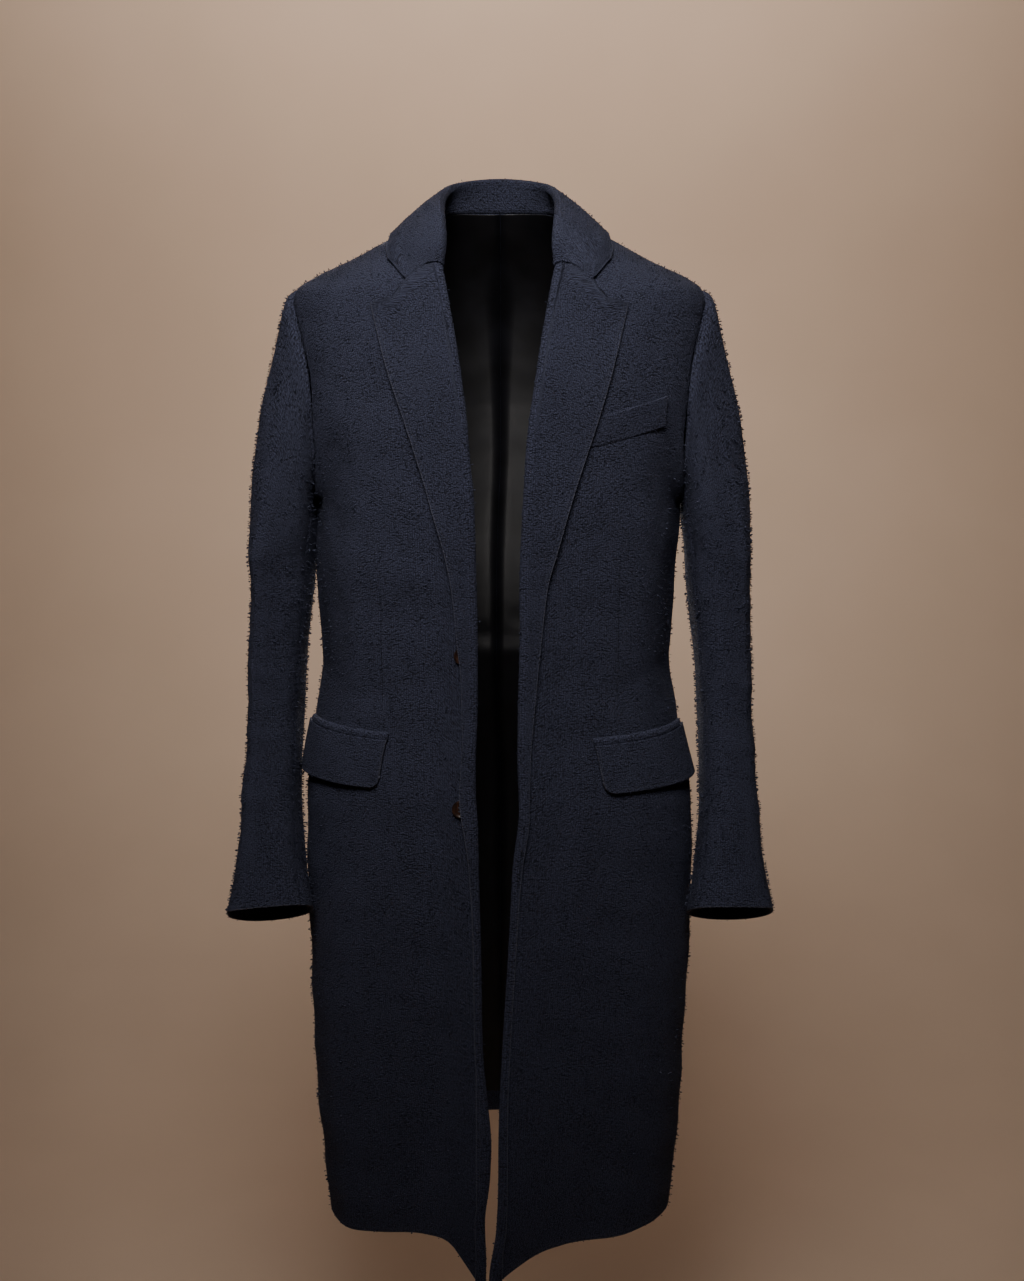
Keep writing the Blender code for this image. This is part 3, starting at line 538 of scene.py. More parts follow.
def front_panel(side):
    """Grid of points of one front, its ways out, and distances from its dart."""
    def start(v):
        edge_z = hem_z(side, 90.0) * (1.0 - v) + ARMPIT * v
        return angle_at(front_edge_x(side, edge_z), edge_z)

    def left(t):
        roll_z = GORGE + (ARMPIT - GORGE) * np.clip(1.0 - t / ROLL_SHARE, 0.0, 1.0) ** 1.4
        roll = angle_at(front_edge_x(side, roll_z), roll_z)
        neck = front_neck(side, np.clip((t - ROLL_SHARE) / (1.0 - ROLL_SHARE), 0.0, 1.0))
        on_roll = t < ROLL_SHARE
        return np.where(on_roll, roll, neck[0]), np.where(on_roll, roll_z, neck[1])

    def top(t):
        return SEAM_RIDGE + 0.0 * t, SHOULDER_TIP * t

    angle, z, points, out = body_panel(side, 1, 48, start, left, top)
    x = points[..., 0] * side
    rise = creases(FRONT_CREASES[side], x, z) + unevenness(x, z, 4 + side)
    rise *= ramp(border_distance(points, "left"), 0.010, 0.050)
    beside = ramp(x, 0.142, 0.186) * ramp(border_distance(points, "right"), 0.002, 0.040)
    rise -= SIDE_FALL * beside * ramp(-z, 0.16, 0.27) * ramp(z, -0.62, -0.46)
    rise += seam_dip(points, "right", 0.0020, 0.0028)
    rise += seam_dip(points, "top") * (angle < 1.5)
    dart_x, dart_top, dart_low = DARTS[side]
    sewn = ramp(z, dart_low, dart_low + 0.03) * ramp(-z, -dart_top, -dart_top + 0.03)
    return raised(points, out, rise), out, (x - dart_x) / np.maximum(0.02, sewn)


def back_panel(side):
    """Grid of points of one half of the back, from the centre seam, and its ways out."""
    def left(t):
        return -90.0 + 0.0 * t, ARMPIT + (BACK_NECK - ARMPIT) * t

    def top(t):
        neck = back_neck(np.clip(1.0 - t / NECK_SHARE, 0.0, 1.0))
        on_neck = t < NECK_SHARE
        shoulder_z = SHOULDER_TIP * (t - NECK_SHARE) / (1.0 - NECK_SHARE)
        return np.where(on_neck, neck[0], -SEAM_RIDGE), np.where(on_neck, neck[1], shoulder_z)

    angle, z, points, out = body_panel(side, -1, 44, lambda v: -90.0, left, top)
    rise = seam_dip(points, "right") + seam_dip(points, "top") * (angle > -1.5)
    rise += seam_dip(points, "left", 0.0009)
    rise += creases(BACK_CREASES, points[..., 0], z) + unevenness(points[..., 0], z, 11)
    points = raised(points, out, rise)
    points[:, 0, 0] += side * SEAM / 2.0
    return points, out


# ------------------------------------------------------------------ lapel facings
def roll_points(side, x, z, turn):
    """Round of the facing about the free edge of the front, inside at 0 to outside at 180."""
    angle = angle_at(x, z)
    edge, out = torso(side, angle, z)
    inward = torso(side, angle + 0.5, z)[0] - torso(side, angle - 0.5, z)[0]
    inward = unit(inward - out * dot(inward, out)[..., None])
    radius = roll_radius(z)
    lift = roll_rise(z) - radius * cosine(turn)
    reach = ROLL_CLEAR + radius * sine(turn)
    return edge + out * lift[..., None] + inward * reach[..., None]


def lapel_lift(z, share, width):
    """Height of the turned-out facing above the front, roll to edge."""
    full = roll_rise(z) + roll_radius(z)
    low = LIFT + 0.0008 + STAND_OFF * ramp(-z, 0.11, 0.19) * ramp(z, -0.40, -0.30)
    return full - (full - low) * ramp(share, 0.15, 1.0) * ramp(width, 0.022, 0.050)


def gorge_line(side):
    """Lapel top edge as x and z: up to the notch along the collar, then out to the corner."""
    start = float(front_edge_x(side, GORGE))
    return np.array(((start, GORGE + 0.004), (start + 0.010, GORGE + 0.002),
                     (start + 0.021, GORGE - 0.004), (0.0920, -0.0585), (0.1040, -0.0730),
                     (0.1260, -0.0785)))


def lapel_panel(side):
    """Facing from the hem up to the gorge: turned in, round the roll, and out to the edge."""
    low = STRIP_END + 0.020
    hem = float(hem_z(side, 90.0))
    line = gorge_line(side)
    plain = hem + (low - hem) * np.linspace(0.0, 1.0, 76)[:-1]
    share = stops(150, right=(0.003, 0.007, 0.012, 0.019)) ** 0.9
    roll_z = np.concatenate((plain, low + (line[0, 1] - low) * share))[:, None]
    edge_z = np.concatenate((plain, low + (line[-1, 1] - low) * share))[:, None]
    blend = np.concatenate((0.0 * plain, ramp(share, 0.72, 1.0)))[:, None]
    inner = np.array((1.0, 0.66, 0.33))
    turns = np.linspace(0.0, 172.0, 10)
    outer = stops(24, left=(0.01,), right=(0.010, 0.022, 0.036, 0.050, 0.066, 0.085, 0.105))[1:]
    x0 = front_edge_x(side, roll_z)
    x1 = np.maximum(lapel_x(side, edge_z), x0 + STRIP_LEAST)
    drop = ramp(-roll_z, 0.95, -hem)

    def level(x, z):
        return z + (hem_z(side, angle_at(x, z)) + 0.0012 - hem) * drop

    x = x0 + (FACING_DEPTH - 0.013 * ramp(roll_z, -0.120, -0.075)) * inner
    z = roll_z + 0.0 * x
    turned_in, _ = torso(side, angle_at(x, z), level(x, z), -FACING_UNDER)
    x = x0 + 0.0 * turns
    z = roll_z + 0.0 * x
    rolled = roll_points(side, x, level(x, z), turns)
    x = x0 + (x1 - x0) * outer
    z = roll_z + (edge_z - roll_z) * outer
    shares = np.linspace(0.0, 1.0, len(line))
    x = x + (np.interp(outer, shares, line[:, 0]) - x) * blend
    z = z + (np.interp(outer, shares, line[:, 1]) - z) * blend
    lift = lapel_lift(roll_z, outer, x1 - x0)
    turned_out, towards = torso(side, angle_at(x, z), level(x, z), lift)
    points = np.concatenate((turned_in, rolled, turned_out), axis=1)
    guide = np.concatenate((-np.repeat(towards[:, :1], len(inner), axis=1),
                            unit(rolled - np.mean(rolled, axis=1, keepdims=True)), towards), axis=1)
    out = ways_out(points, guide)
    first = len(inner) + len(turns)
    column = np.arange(points.shape[1])
    edge = np.minimum(border_distance(points, "right"),
                      border_distance(points, "top") + 1.0 * (column < first + 4))
    rise = stitch_groove(edge) * (column >= first)
    wavy = unevenness(points[..., 0], points[..., 2], 21 + side, 0.16, 0.0006)
    rise = rise + wavy * (column >= first) * ramp(border_distance(points, "left"), 0.03, 0.06)
    return raised(points, out, rise), out, (len(inner), len(turns), len(outer))


# ------------------------------------------------------------------ collar
GORGE_GAP = 0.0017      # collar above the lapel at the gorge seam, between their middles
FOLD_ROUND = 0.0040     # middle radius of the fold
LEAF_COLUMN = 6         # the leaf starts at this column of a section
LEAF_LIFT = LIFT + 0.0018
LEAF_BULGE = 0.0026


def collar_station(side, number):
    """Section of the collar, seam to fold to leaf edge."""
    *fold, edge_angle, edge_z = COLLAR[number]
    fold = np.array(fold) * (side, 1.0, 1.0)
    share = (number + 1) / 4.0
    base, out = torso(side, *(front_neck(side, share) if share <= 1.0 else back_neck(share - 1.0)))
    leaf, leaf_out = torso(side, edge_angle, edge_z, LEAF_LIFT)
    base = base + unit(fold - base) * 0.0006
    tip = unit(fold - (base + leaf) / 2.0)
    outward = unit(out - tip * dot(out, tip))
    inner, outer = fold - outward * FOLD_ROUND, fold + outward * FOLD_ROUND
    row = [base, (base + inner) / 2.0, inner]
    row += [fold + FOLD_ROUND * (tip * sine(turn) - outward * cosine(turn))
            for turn in (45.0, 90.0, 135.0)]
    row += [outer * (1.0 - t) + leaf * t + leaf_out * (LEAF_BULGE * 4.0 * t * (1.0 - t))
            for t in (0.0, 0.25, 0.5, 0.75, 1.0)]
    return row


def collar_front(side):
    """First section, along the gorge and then out along the leaf's short front edge."""
    line = gorge_line(side)
    x0, z0 = line[0]
    row = [torso(side, angle_at(x0 + depth, z0), z0 + GORGE_GAP, -FACING_UNDER)[0]
           for depth in (0.0005, 0.0002)]
    row += [roll_points(side, x0, z0 + GORGE_GAP, turn) for turn in (0.0, 45.0, 90.0, 135.0)]
    for k, (x, z) in enumerate(line[:4]):
        lift = lapel_lift(z0, k / 5.0, line[-1, 0] - x0)
        row.append(torso(side, angle_at(x, z), z + GORGE_GAP, lift)[0])
    return row + [torso(side, 46.0, -0.0375, LEAF_LIFT)[0]]


def clear_of_body(points, least):
    """Points of the leaf, moved out where they lie nearer than least to the body cloth."""
    angles, heights = np.meshgrid(np.arange(-90.0, 91.0, 4.0), np.arange(-0.068, 0.004, 0.004))
    body = [torso(side, angles.ravel(), heights.ravel()) for side in (1, -1)]
    below, out = (np.concatenate(parts) for parts in zip(*body))
    flat = points.reshape(-1, 3)
    nearest = np.array([np.argmin(np.sum((below - p) ** 2, axis=1)) for p in flat])
    push = np.maximum(0.0, least.reshape(-1) - dot(flat - below[nearest], out[nearest]))
    return (flat + out[nearest] * push[:, None]).reshape(points.shape)


def refined(grid, rows, columns):
    """A coarse grid read at in-between rows and columns, smooth through every point."""
    def along(values, at):
        ends = 2 * values[:1] - values[1:2], 2 * values[-1:] - values[-2:-1]
        padded = np.concatenate((ends[0], values, ends[1]))
        k = np.clip(np.floor(at).astype(int), 0, len(values) - 2)
        t = (at - k)[:, None, None]
        a, b, c, d = padded[k], padded[k + 1], padded[k + 2], padded[k + 3]
        return 0.5 * (2 * b + (c - a) * t + (2 * a - 5 * b + 4 * c - d) * t ** 2
                      + (3 * b - a - 3 * c + d) * t ** 3)

    there = along(grid, rows)
    return np.swapaxes(along(np.swapaxes(there, 0, 1), columns), 0, 1)


def collar_panel():
    """Grid of points of the collar, from the left gorge round to the right, and its ways out."""
    left, right = ([collar_front(side)] + [collar_station(side, k) for k in range(len(COLLAR))]
                   for side in (1, -1))
    coarse = np.array(left + right[-2::-1])
    end = len(coarse) - 1
    closer = (0.0012, 0.003, 0.005, 0.008)
    rows = end * stops(96, left=closer, right=closer)
    leaf_stops = stops(18, right=(0.010, 0.024, 0.040, 0.058, 0.080, 0.105, 0.135))
    columns = np.concatenate((np.linspace(0.0, 2.0, 7)[:-1], np.linspace(2.0, LEAF_COLUMN, 13)[:-1],
                              LEAF_COLUMN + 4.0 * leaf_stops))
    points = refined(coarse, rows, columns)
    near_end = np.minimum(rows, end - rows)[:, None]
    least = LIFT + 0.0014 + 0.0012 * (1.0 - ramp(near_end, 0.5, 2.5))
    least = np.where((columns > LEAF_COLUMN + 0.4) & (near_end > 0.25),
                     least - 0.0010 * ramp(columns, 8.5, 10.0), -1.0)
    points = clear_of_body(points, least)
    out = ways_out(points, points - (points[:, 3:4] + points[:, -4:-3]) / 2.0)
    ends = nearest_border(points, "bottom", "top")
    rise = stitch_groove(border_distance(points, "right")) + stitch_groove(ends) * (columns > 9.2)
    return raised(points, out, rise), out


# ------------------------------------------------------------------ sleeves
TOP_SLEEVE = (-128.0, 146.0)
SLEEVE_SHARES = (0.004, 0.009, 0.016, 0.026)
CUFF_SLANT = {1: 0.02, -1: 0.12}   # how much lower the cuff hangs outside than against the body
CUFF_DROOP = 0.0012     # front and back of the cuff hang below its sides

# Wrinkles round a sleeve. Across is the turn in degrees, and lengths across are degrees too.
SLEEVE_CREASES = {
    1: ((62.0, -0.385, 62.0, 0.0090, 0.0022, 4.0, 0.006),
        (40.0, -0.432, 80.0, 0.0080, -0.0024, -5.0, -0.006),
        (70.0, -0.472, 66.0, 0.0085, 0.0028, 6.0, 0.007),
        (30.0, -0.503, 82.0, 0.0075, -0.0028, -4.0, 0.008),
        (64.0, -0.535, 70.0, 0.0080, 0.0030, 5.0, -0.006),
        (20.0, -0.566, 76.0, 0.0075, -0.0026, -6.0, 0.006),
        (58.0, -0.598, 72.0, 0.0085, 0.0024, 4.0, 0.007),
        (28.0, -0.634, 64.0, 0.0080, -0.0020, -3.0, -0.005),
        (-60.0, -0.480, 60.0, 0.0095, 0.0020, -8.0, 0.006),
        (-75.0, -0.560, 56.0, 0.0090, -0.0020, 7.0, 0.006),
        (150.0, -0.470, 60.0, 0.0090, 0.0016, 5.0, 0.004),
        (-20.0, -0.250, 40.0, 0.0140, 0.0018, 60.0, 0.004),
        (48.0, -0.240, 44.0, 0.0120, -0.0016, -64.0, 0.004)),
    -1: ((58.0, -0.372, 58.0, 0.0085, 0.0020, -4.0, 0.006),
         (36.0, -0.415, 74.0, 0.0080, -0.0022, 6.0, 0.006),
         (74.0, -0.452, 60.0, 0.0085, 0.0026, -5.0, -0.007),
         (28.0, -0.490, 84.0, 0.0080, -0.0030, 4.0, 0.008),
         (66.0, -0.521, 72.0, 0.0075, 0.0030, -6.0, 0.007),
         (24.0, -0.552, 72.0, 0.0080, -0.0026, 5.0, -0.006),
         (60.0, -0.586, 66.0, 0.0080, 0.0026, -4.0, 0.007),
         (34.0, -0.622, 70.0, 0.0085, -0.0022, 3.0, 0.005),
         (-62.0, -0.465, 58.0, 0.0095, 0.0020, 8.0, 0.006),
         (-70.0, -0.545, 60.0, 0.0090, -0.0022, -7.0, 0.006),
         (152.0, -0.485, 56.0, 0.0090, 0.0016, -5.0, 0.004),
         (-24.0, -0.255, 42.0, 0.0140, 0.0018, 62.0, 0.004),
         (50.0, -0.235, 40.0, 0.0120, -0.0016, -60.0, 0.004)),
}
AROUND = 0.00095          # metres round a sleeve for each degree of turn
SLEEVE_CREASE = 0.60      # share of each crease that is left when the arm hangs still
PRESSED_TURN = 64.0, 76.0 # soft pressed ridge down the front of each sleeve, above and below
PRESSED_RISE = 0.0019
OUTER_RISE = 0.0018       # the front of the sleeve is flat, so its outer side is fuller
INNER_RISE = 0.0045       # the front stays full up to the side against the body


def sleeve_ring(side, z, turn):
    """Points of the sleeve. Turn 0 is the outside, 90 the front, 180 against the body."""
    x, y, half, depth, tip = read_all(SLEEVE, SLEEVE_COLUMNS, z)
    forward = signed_power(sine(turn), 0.95)
    px = x + half * signed_power(cosine(turn), 0.92) + 0.38 * half * np.maximum(0.0, forward) ** 3
    pz = z + depth * forward * sine(tip)
    pz = pz - CUFF_SLANT[side] * (px - x) * ramp(-z, 0.55, 0.71)
    pz = pz - CUFF_DROOP * forward ** 2 * ramp(-z, 0.60, 0.71)
    return vectors(px * side, y - depth * forward * cosine(tip), pz)


def head_point(side, share, turn):
    """Points of the sleeve head, between the armhole and the first full section."""
    lift = HEAD_LIFT + (LIFT - HEAD_LIFT) * ramp(share, 0.0, 0.030)
    start = torso(side, *armhole(turn), lift)[0]
    end = sleeve_ring(side, SLEEVE[0][0] + 0.0 * turn, turn)
    puff = 0.0135 * (0.5 + 0.5 * cosine(turn)) + 0.0016
    swell = puff * (0.42 * (1.0 - np.exp(-share / 0.028)) + 0.50 * ramp(share, 0.10, 0.52))
    towards = vectors(np.maximum(cosine(turn), 0.0) * side, -sine(turn) * 0.7, 0.0 * turn)
    point = start * (1.0 - share[..., None]) + end * share[..., None]
    return raised(point, towards, swell * (1.0 - share ** 4))


def sleeve_panel(side, first, last, columns):
    """Grid of points of one sleeve piece, armhole first, its ways out and its places laid flat."""
    top, cuff = SLEEVE[0][0], SLEEVE[-1][0]
    turns = first + (last - first) * stops(columns, left=SLEEVE_SHARES, right=SLEEVE_SHARES)
    shares = np.concatenate(((0.0, 0.008, 0.018, 0.030, 0.045, 0.065), np.linspace(0.09, 1.0, 46)))
    turn, share = np.meshgrid(turns, shares)
    head = head_point(side, share, turn)
    heights = top + (cuff - top) * stops(92, right=(0.003, 0.007, 0.012))[1:]
    turn, height = np.meshgrid(turns, heights)
    points = np.concatenate((head, sleeve_ring(side, height, turn)))
    turn = turns + 0.0 * points[..., 0]
    out = ways_out(points, vectors(cosine(turn) * side, -sine(turn), 0.0 * turn))
    seams = [ramp(border_distance(points, border), 0.0, 0.004) for border in ("left", "right")]
    gap = np.zeros_like(turn)
    gap[:, 0], gap[:, -1] = SLEEVE_SEAM / 2.0, -SLEEVE_SEAM / 2.0
    points = raised(points, unit(np.gradient(points, axis=1)), gap)
    level = points[..., 2]
    wrapped = (turn + 180.0) % 360.0 - 180.0
    table = [(a * AROUND, z, long * AROUND, *rest) for a, z, long, *rest in SLEEVE_CREASES[side]]
    facing_out = 0.35 + 0.65 * sine(wrapped) ** 2
    rise = SLEEVE_CREASE * creases(table, wrapped * AROUND, level) * facing_out
    rise += unevenness(wrapped * AROUND, level, 31 + side, 0.09, 0.0006)
    ridge = PRESSED_TURN[0] + (PRESSED_TURN[1] - PRESSED_TURN[0]) * ramp(-level, 0.22, 0.42)
    rise += PRESSED_RISE * bell(wrapped, ridge, 3.6) * ramp(level, -0.60, -0.45)
    rise *= seams[0] * seams[1] * ramp(-level, 0.12, 0.22) * ramp(level, cuff - 0.01, cuff + 0.05)
    rise += INNER_RISE * bell(wrapped, 128.0, 24.0) * ramp(-level, 0.27, 0.36)
    rise += OUTER_RISE * bell(wrapped, 54.0, 18.0) * ramp(-level, 0.20, 0.34)
    rise += seam_dip(points, "left", 0.0011) + seam_dip(points, "right", 0.0011)
    rise += seam_dip(points, "bottom", 0.0014, 0.0020)
    down = np.mean(border_distance(points, "bottom"), axis=1)[:, None] + 0.0 * turn
    return raised(points, out, rise), out, ((turn - first) * AROUND, down)


# ------------------------------------------------------------------ pockets
FLAP_TOP = {1: -0.5225, -1: -0.5175}
FLAP_DEEP = 0.050
FLAP_CORNER = 0.010       # radius of its lower front corner
FLAP_SLANT = {1: 0.9, -1: 1.6}      # how far its front end slants back, degrees
FLAP_ROUND = 0.075        # share of the flap that its round corner takes
FLAP_INNER = {1: 0.1010, -1: 0.1100}
FLAP_END = 6.0
JET_DEEP = 0.0065
JET_END = 12.0
JET_ABOVE = 0.0006        # jet above the flap
WELT_TOP = ((0.0985, -0.1870), (0.1650, -0.1690))
WELT_DEEP = 0.030
WELT_TUCK = 0.0022        # its front end is tucked in beside the lapel
EDGE_SHARES = (0.010, 0.022, 0.034, 0.046, 0.060)


def flap_panel(side):
    low_shares = (0.020, 0.045, 0.066, 0.084, 0.105, 0.130)
    u, v = np.meshgrid(stops(44, left=EDGE_SHARES, right=EDGE_SHARES),
                       stops(18, left=(0.03,), right=low_shares))
    top = FLAP_TOP[side]
    start = float(angle_at(FLAP_INNER[side], top))
    near = np.maximum(0.0, 1.0 - u / FLAP_ROUND)
    corner = FLAP_CORNER * (1.0 - np.sqrt(np.maximum(0.0, 1.0 - near * near)))
    z = top - (FLAP_DEEP + 0.005 * u - corner) * v
    angle = start * (1.0 - u) + FLAP_END * u - FLAP_SLANT[side] * v * (1.0 - u)
    points, out = torso(side, angle, z, LIFT + (0.0020 + 0.0024 * u * u) * v)
    rise = stitch_groove(nearest_border(points, "left", "right", "top"))
    return raised(points, out, rise + 0.0007 * np.sin(u * 9.0 + side) * v ** 2), out


def jet_panel(side):
    u, v = np.meshgrid(stops(40), stops(8))
    low = FLAP_TOP[side] + JET_ABOVE
    start = float(angle_at(FLAP_INNER[side] - 0.001, low))
    points, out = torso(side, start * (1.0 - u) + JET_END * u, low + JET_DEEP * v, LIFT)
    rise = -0.0010 * np.maximum(0.0, 0.6 - 2.0 * v) ** 2 / 0.36
    return raised(points, out, rise - 0.0022 * np.maximum(0.0, 2.0 * v - 1.2) ** 2 / 0.64), out


def welt_panel(side):
    u, v = np.meshgrid(stops(26, left=EDGE_SHARES, right=EDGE_SHARES),
                       stops(12, left=(0.03, 0.07), right=(0.04,)))
    z = WELT_TOP[0][1] * (1.0 - u) + WELT_TOP[1][1] * u - WELT_DEEP * v
    low = lapel_x(side, z) + 0.0008
    x = low + (WELT_TOP[1][0] - low) * u
    lift = (LIFT - WELT_TUCK * (1.0 - ramp(u, 0.0, 0.35))) * (1.0 - v) + 0.0007 * v
    points, out = torso(side, angle_at(x, z), z, lift)
    return raised(points, out, stitch_groove(border_distance(points, "right"))), out


# ------------------------------------------------------------------ materials
GRAIN = 1.25 * MM        # matted fibre, drawn coarser than life so that it shows
CURL = 2.3 * MM          # size of one curl of the raised nap
PIT = 3.4 * MM           # spacing of the small gaps between curls, painted dark as shade
LINT = 10.0 * MM         # spacing of pale specks of lint
WEAVE = 2.4 * MM         # ribs of the ground weave, drawn coarse, and faint through the nap
NAP_AREAS = 30.0 * MM    # size of the areas where the nap stands higher or is rubbed down
EDGE_LINE = 1.5 * MM     # edge made paler by pressing and wear, with a painted highlight along its ridge
SECOND_LINE = 4.3 * MM   # and the ridge of the seam allowance behind it, painted paler as a highlight
TWILL = 0.9 * MM         # ribs of the satin, drawn coarser than life
SHEEN_AREAS = 38.0 * MM  # size of the soft changes in the satin's colour, which are painted sheen
TWIST = 0.6 * MM         # turns of the thread, drawn coarser than life
LOCK_TONES = 3.0 * MM    # from one tone of the raised wool to the next
HORN_STREAKS = (420.0, 420.0, 90.0)      # to the metre: streaks 2.4 mm wide and 11 mm long
MOTTLES = 3.0            # to the metre of floor


def linear(hex_colour):
    """sRGB hex as linear red, green, blue and alpha."""
    values = [int(hex_colour[k:k + 2], 16) / 255.0 for k in (1, 3, 5)]
    return (*(v / 12.92 if v <= 0.04045 else ((v + 0.055) / 1.055) ** 2.4 for v in values), 1.0)


def feed(tree, made, inputs):
    """Sets a node's inputs to values, or links them to sockets."""
    for key, value in inputs.items():
        if isinstance(value, bpy.types.NodeSocket):
            tree.links.new(value, made.inputs[key])
        else:
            made.inputs[key].default_value = value


def node(tree, kind, output, inputs=None, shades=(), **settings):
    """Adds a node with its settings and links. A ramp has shades of (position, hex)."""
    made = tree.nodes.new("ShaderNode" + kind)
    for name, value in settings.items():
        setattr(made, name, value)
    feed(tree, made, inputs or {})
    if shades:
        elements = made.color_ramp.elements
        for element, (position, colour) in zip(elements, (shades[0], shades[-1])):
            element.position, element.color = position, linear(colour)
        for position, colour in shades[1:-1]:
            elements.new(position).color = linear(colour)
    return made.outputs[output]


def started(name, colour, constants):
    """A new material, its tree and its shader, with constants on the shader's own sockets."""
    material = bpy.data.materials.new(name)
    material.use_nodes = True
    tree = material.node_tree
    shader = tree.nodes["Principled BSDF"]
    feed(tree, shader, {"Base Color": linear(colour), **constants})
    return material, tree, shader


def wool_coating():
    """Heavy wool coating, raised and curled on the face: matt, pebbly in places, faintly blue."""
    # The fourth colour paints shade into the gaps between curls and darkens the dart seams; the
    # fifth is the paler edge: edge wear with a painted highlight.
    dark, middle, pale, gap, wear_and_highlight_colour = "#0E0F16", "#272937", "#454960", "#08090D", "#565867"
    wool, tree, shader = started("curled_wool_coating", middle, {
        "Roughness": 0.92, "Sheen Weight": 0.20, "Sheen Roughness": 0.45,
        "Sheen Tint": linear("#8F96B8"), "Specular IOR Level": 0.18})
    metres = node(tree, "UVMap", "UV", uv_map="metres")
    edges = node(tree, "UVMap", "UV", uv_map="edge")
    from_edge = node(tree, "SeparateXYZ", "X", {0: edges})
    from_seam = node(tree, "Math", 0, {0: from_edge.node.outputs["Y"]}, operation="ABSOLUTE")
    past_edge = node(tree, "Math", 0, {0: from_edge, 1: SECOND_LINE}, operation="SUBTRACT")
    from_second = node(tree, "Math", 0, {0: past_edge}, operation="ABSOLUTE")
    areas = node(tree, "TexNoise", "Fac", {"Vector": metres, "Scale": 1.0 / NAP_AREAS,
                                           "Detail": 2.0})
    grain = node(tree, "TexNoise", "Fac", {"Vector": metres, "Scale": 1.0 / GRAIN, "Detail": 2.0,
                                           "Roughness": 0.75})
    wide = node(tree, "Mapping", "Vector", {"Vector": metres,
                                            "Scale": (0.80 / CURL, 1.25 / CURL, 1.0)})
    curls = node(tree, "TexNoise", "Color", {"Vector": wide, "Scale": 1.0, "Detail": 3.0,
                                             "Roughness": 0.6})
    bent = node(tree, "VectorMath", "Vector", {0: curls, 1: (0.8, 0.8, 0.0), 2: wide},
                operation="MULTIPLY_ADD")
    tufts = node(tree, "TexVoronoi", "Distance", {"Vector": bent, "Scale": 1.0}, feature="F1",
                 voronoi_dimensions="2D")
    pits, lint = (node(tree, "TexVoronoi", "Distance", {"Vector": metres, "Scale": 1.0 / size},
                       feature="F1") for size in (PIT, LINT))
    ribs = node(tree, "TexWave", "Fac", {"Vector": metres, "Scale": 0.314 / WEAVE,
                                         "Distortion": 3.0, "Detail": 2.0, "Detail Scale": 2.0},
                bands_direction="X")
    # Masks for the marks below. The paler edge is edge wear with a painted highlight on its ridge,
    # and the second line is a painted highlight on the ridge of the seam allowance.
    rubbed, tuft, pit, speck, edge_wear_and_highlight, second_ridge_highlight, sewn, sewn_in = (
        node(tree, "MapRange", "Result", {"Value": distance, "From Min": full, "From Max": none,
                                          "To Min": 1.0, "To Max": 0.0},
             interpolation_type="SMOOTHSTEP")
        for distance, full, none in ((areas, 0.36, 0.66), (tufts, 0.80, 0.30), (pits, 0.10, 0.26),
                                     (lint, 0.03, 0.075), (from_edge, 0.35 * EDGE_LINE, EDGE_LINE),
                                     (from_second, 0.2 * MM, 1.1 * MM),
                                     (from_seam, 0.3 * MM, 1.1 * MM),
                                     (from_seam, 0.2 * MM, 2.4 * MM)))
    raised_nap = node(tree, "Math", 0, {0: rubbed, 1: -0.45, 2: 1.0}, operation="MULTIPLY_ADD")
    # The pits between curls are sunk in the relief and also painted dark as shade.
    pebbles, pit_hollow_and_shade = (node(tree, "Math", 0, {0: spot, 1: raised_nap}, operation="MULTIPLY")
                       for spot in (tuft, pit))
    height = node(tree, "Math", 0, {0: grain, 1: 1.60}, operation="MULTIPLY")
    for part, share in ((pebbles, -1.30), (ribs, 0.10), (pit_hollow_and_shade, -0.60), (sewn_in, -0.8)):
        height = node(tree, "Math", 0, {0: part, 1: share, 2: height}, operation="MULTIPLY_ADD")
    shade = grain
    # Colour from the grain and the ribs, with the gaps between curls painted darker as shade.
    for part, share in ((pebbles, -0.13), (ribs, 0.08)):
        shade = node(tree, "Math", 0, {0: part, 1: share, 2: shade}, operation="MULTIPLY_ADD")
    colour = node(tree, "ValToRGB", "Color", {"Fac": shade},
                  ((0.30, dark), (0.47, middle), (0.62, pale)))
    broken = node(tree, "Math", 0, {0: grain, 1: 0.9, 2: 0.30}, operation="MULTIPLY_ADD")
    # Over it: painted shade in the pits, pale lint specks, edge wear with a painted highlight along
    # the edge, a painted highlight on the ridge behind the stitches, and dark dart seams.
    for part, share, over in ((pit_hollow_and_shade, 0.80, gap), (speck, 0.50, "#7C8098"),
                              (edge_wear_and_highlight, broken, wear_and_highlight_colour), (second_ridge_highlight, 0.18, wear_and_highlight_colour), (sewn, 0.40, gap)):
        weight = node(tree, "Math", 0, {0: part, 1: share}, operation="MULTIPLY")
        colour = node(tree, "Mix", 2, {0: weight, 6: colour, 7: linear(over)}, data_type="RGBA")
    relief = node(tree, "Bump", "Normal", {"Strength": 1.0, "Distance": 1.7 * MM, "Height": height})
    feed(tree, shader, {"Base Color": colour, "Normal": relief})
    return wool


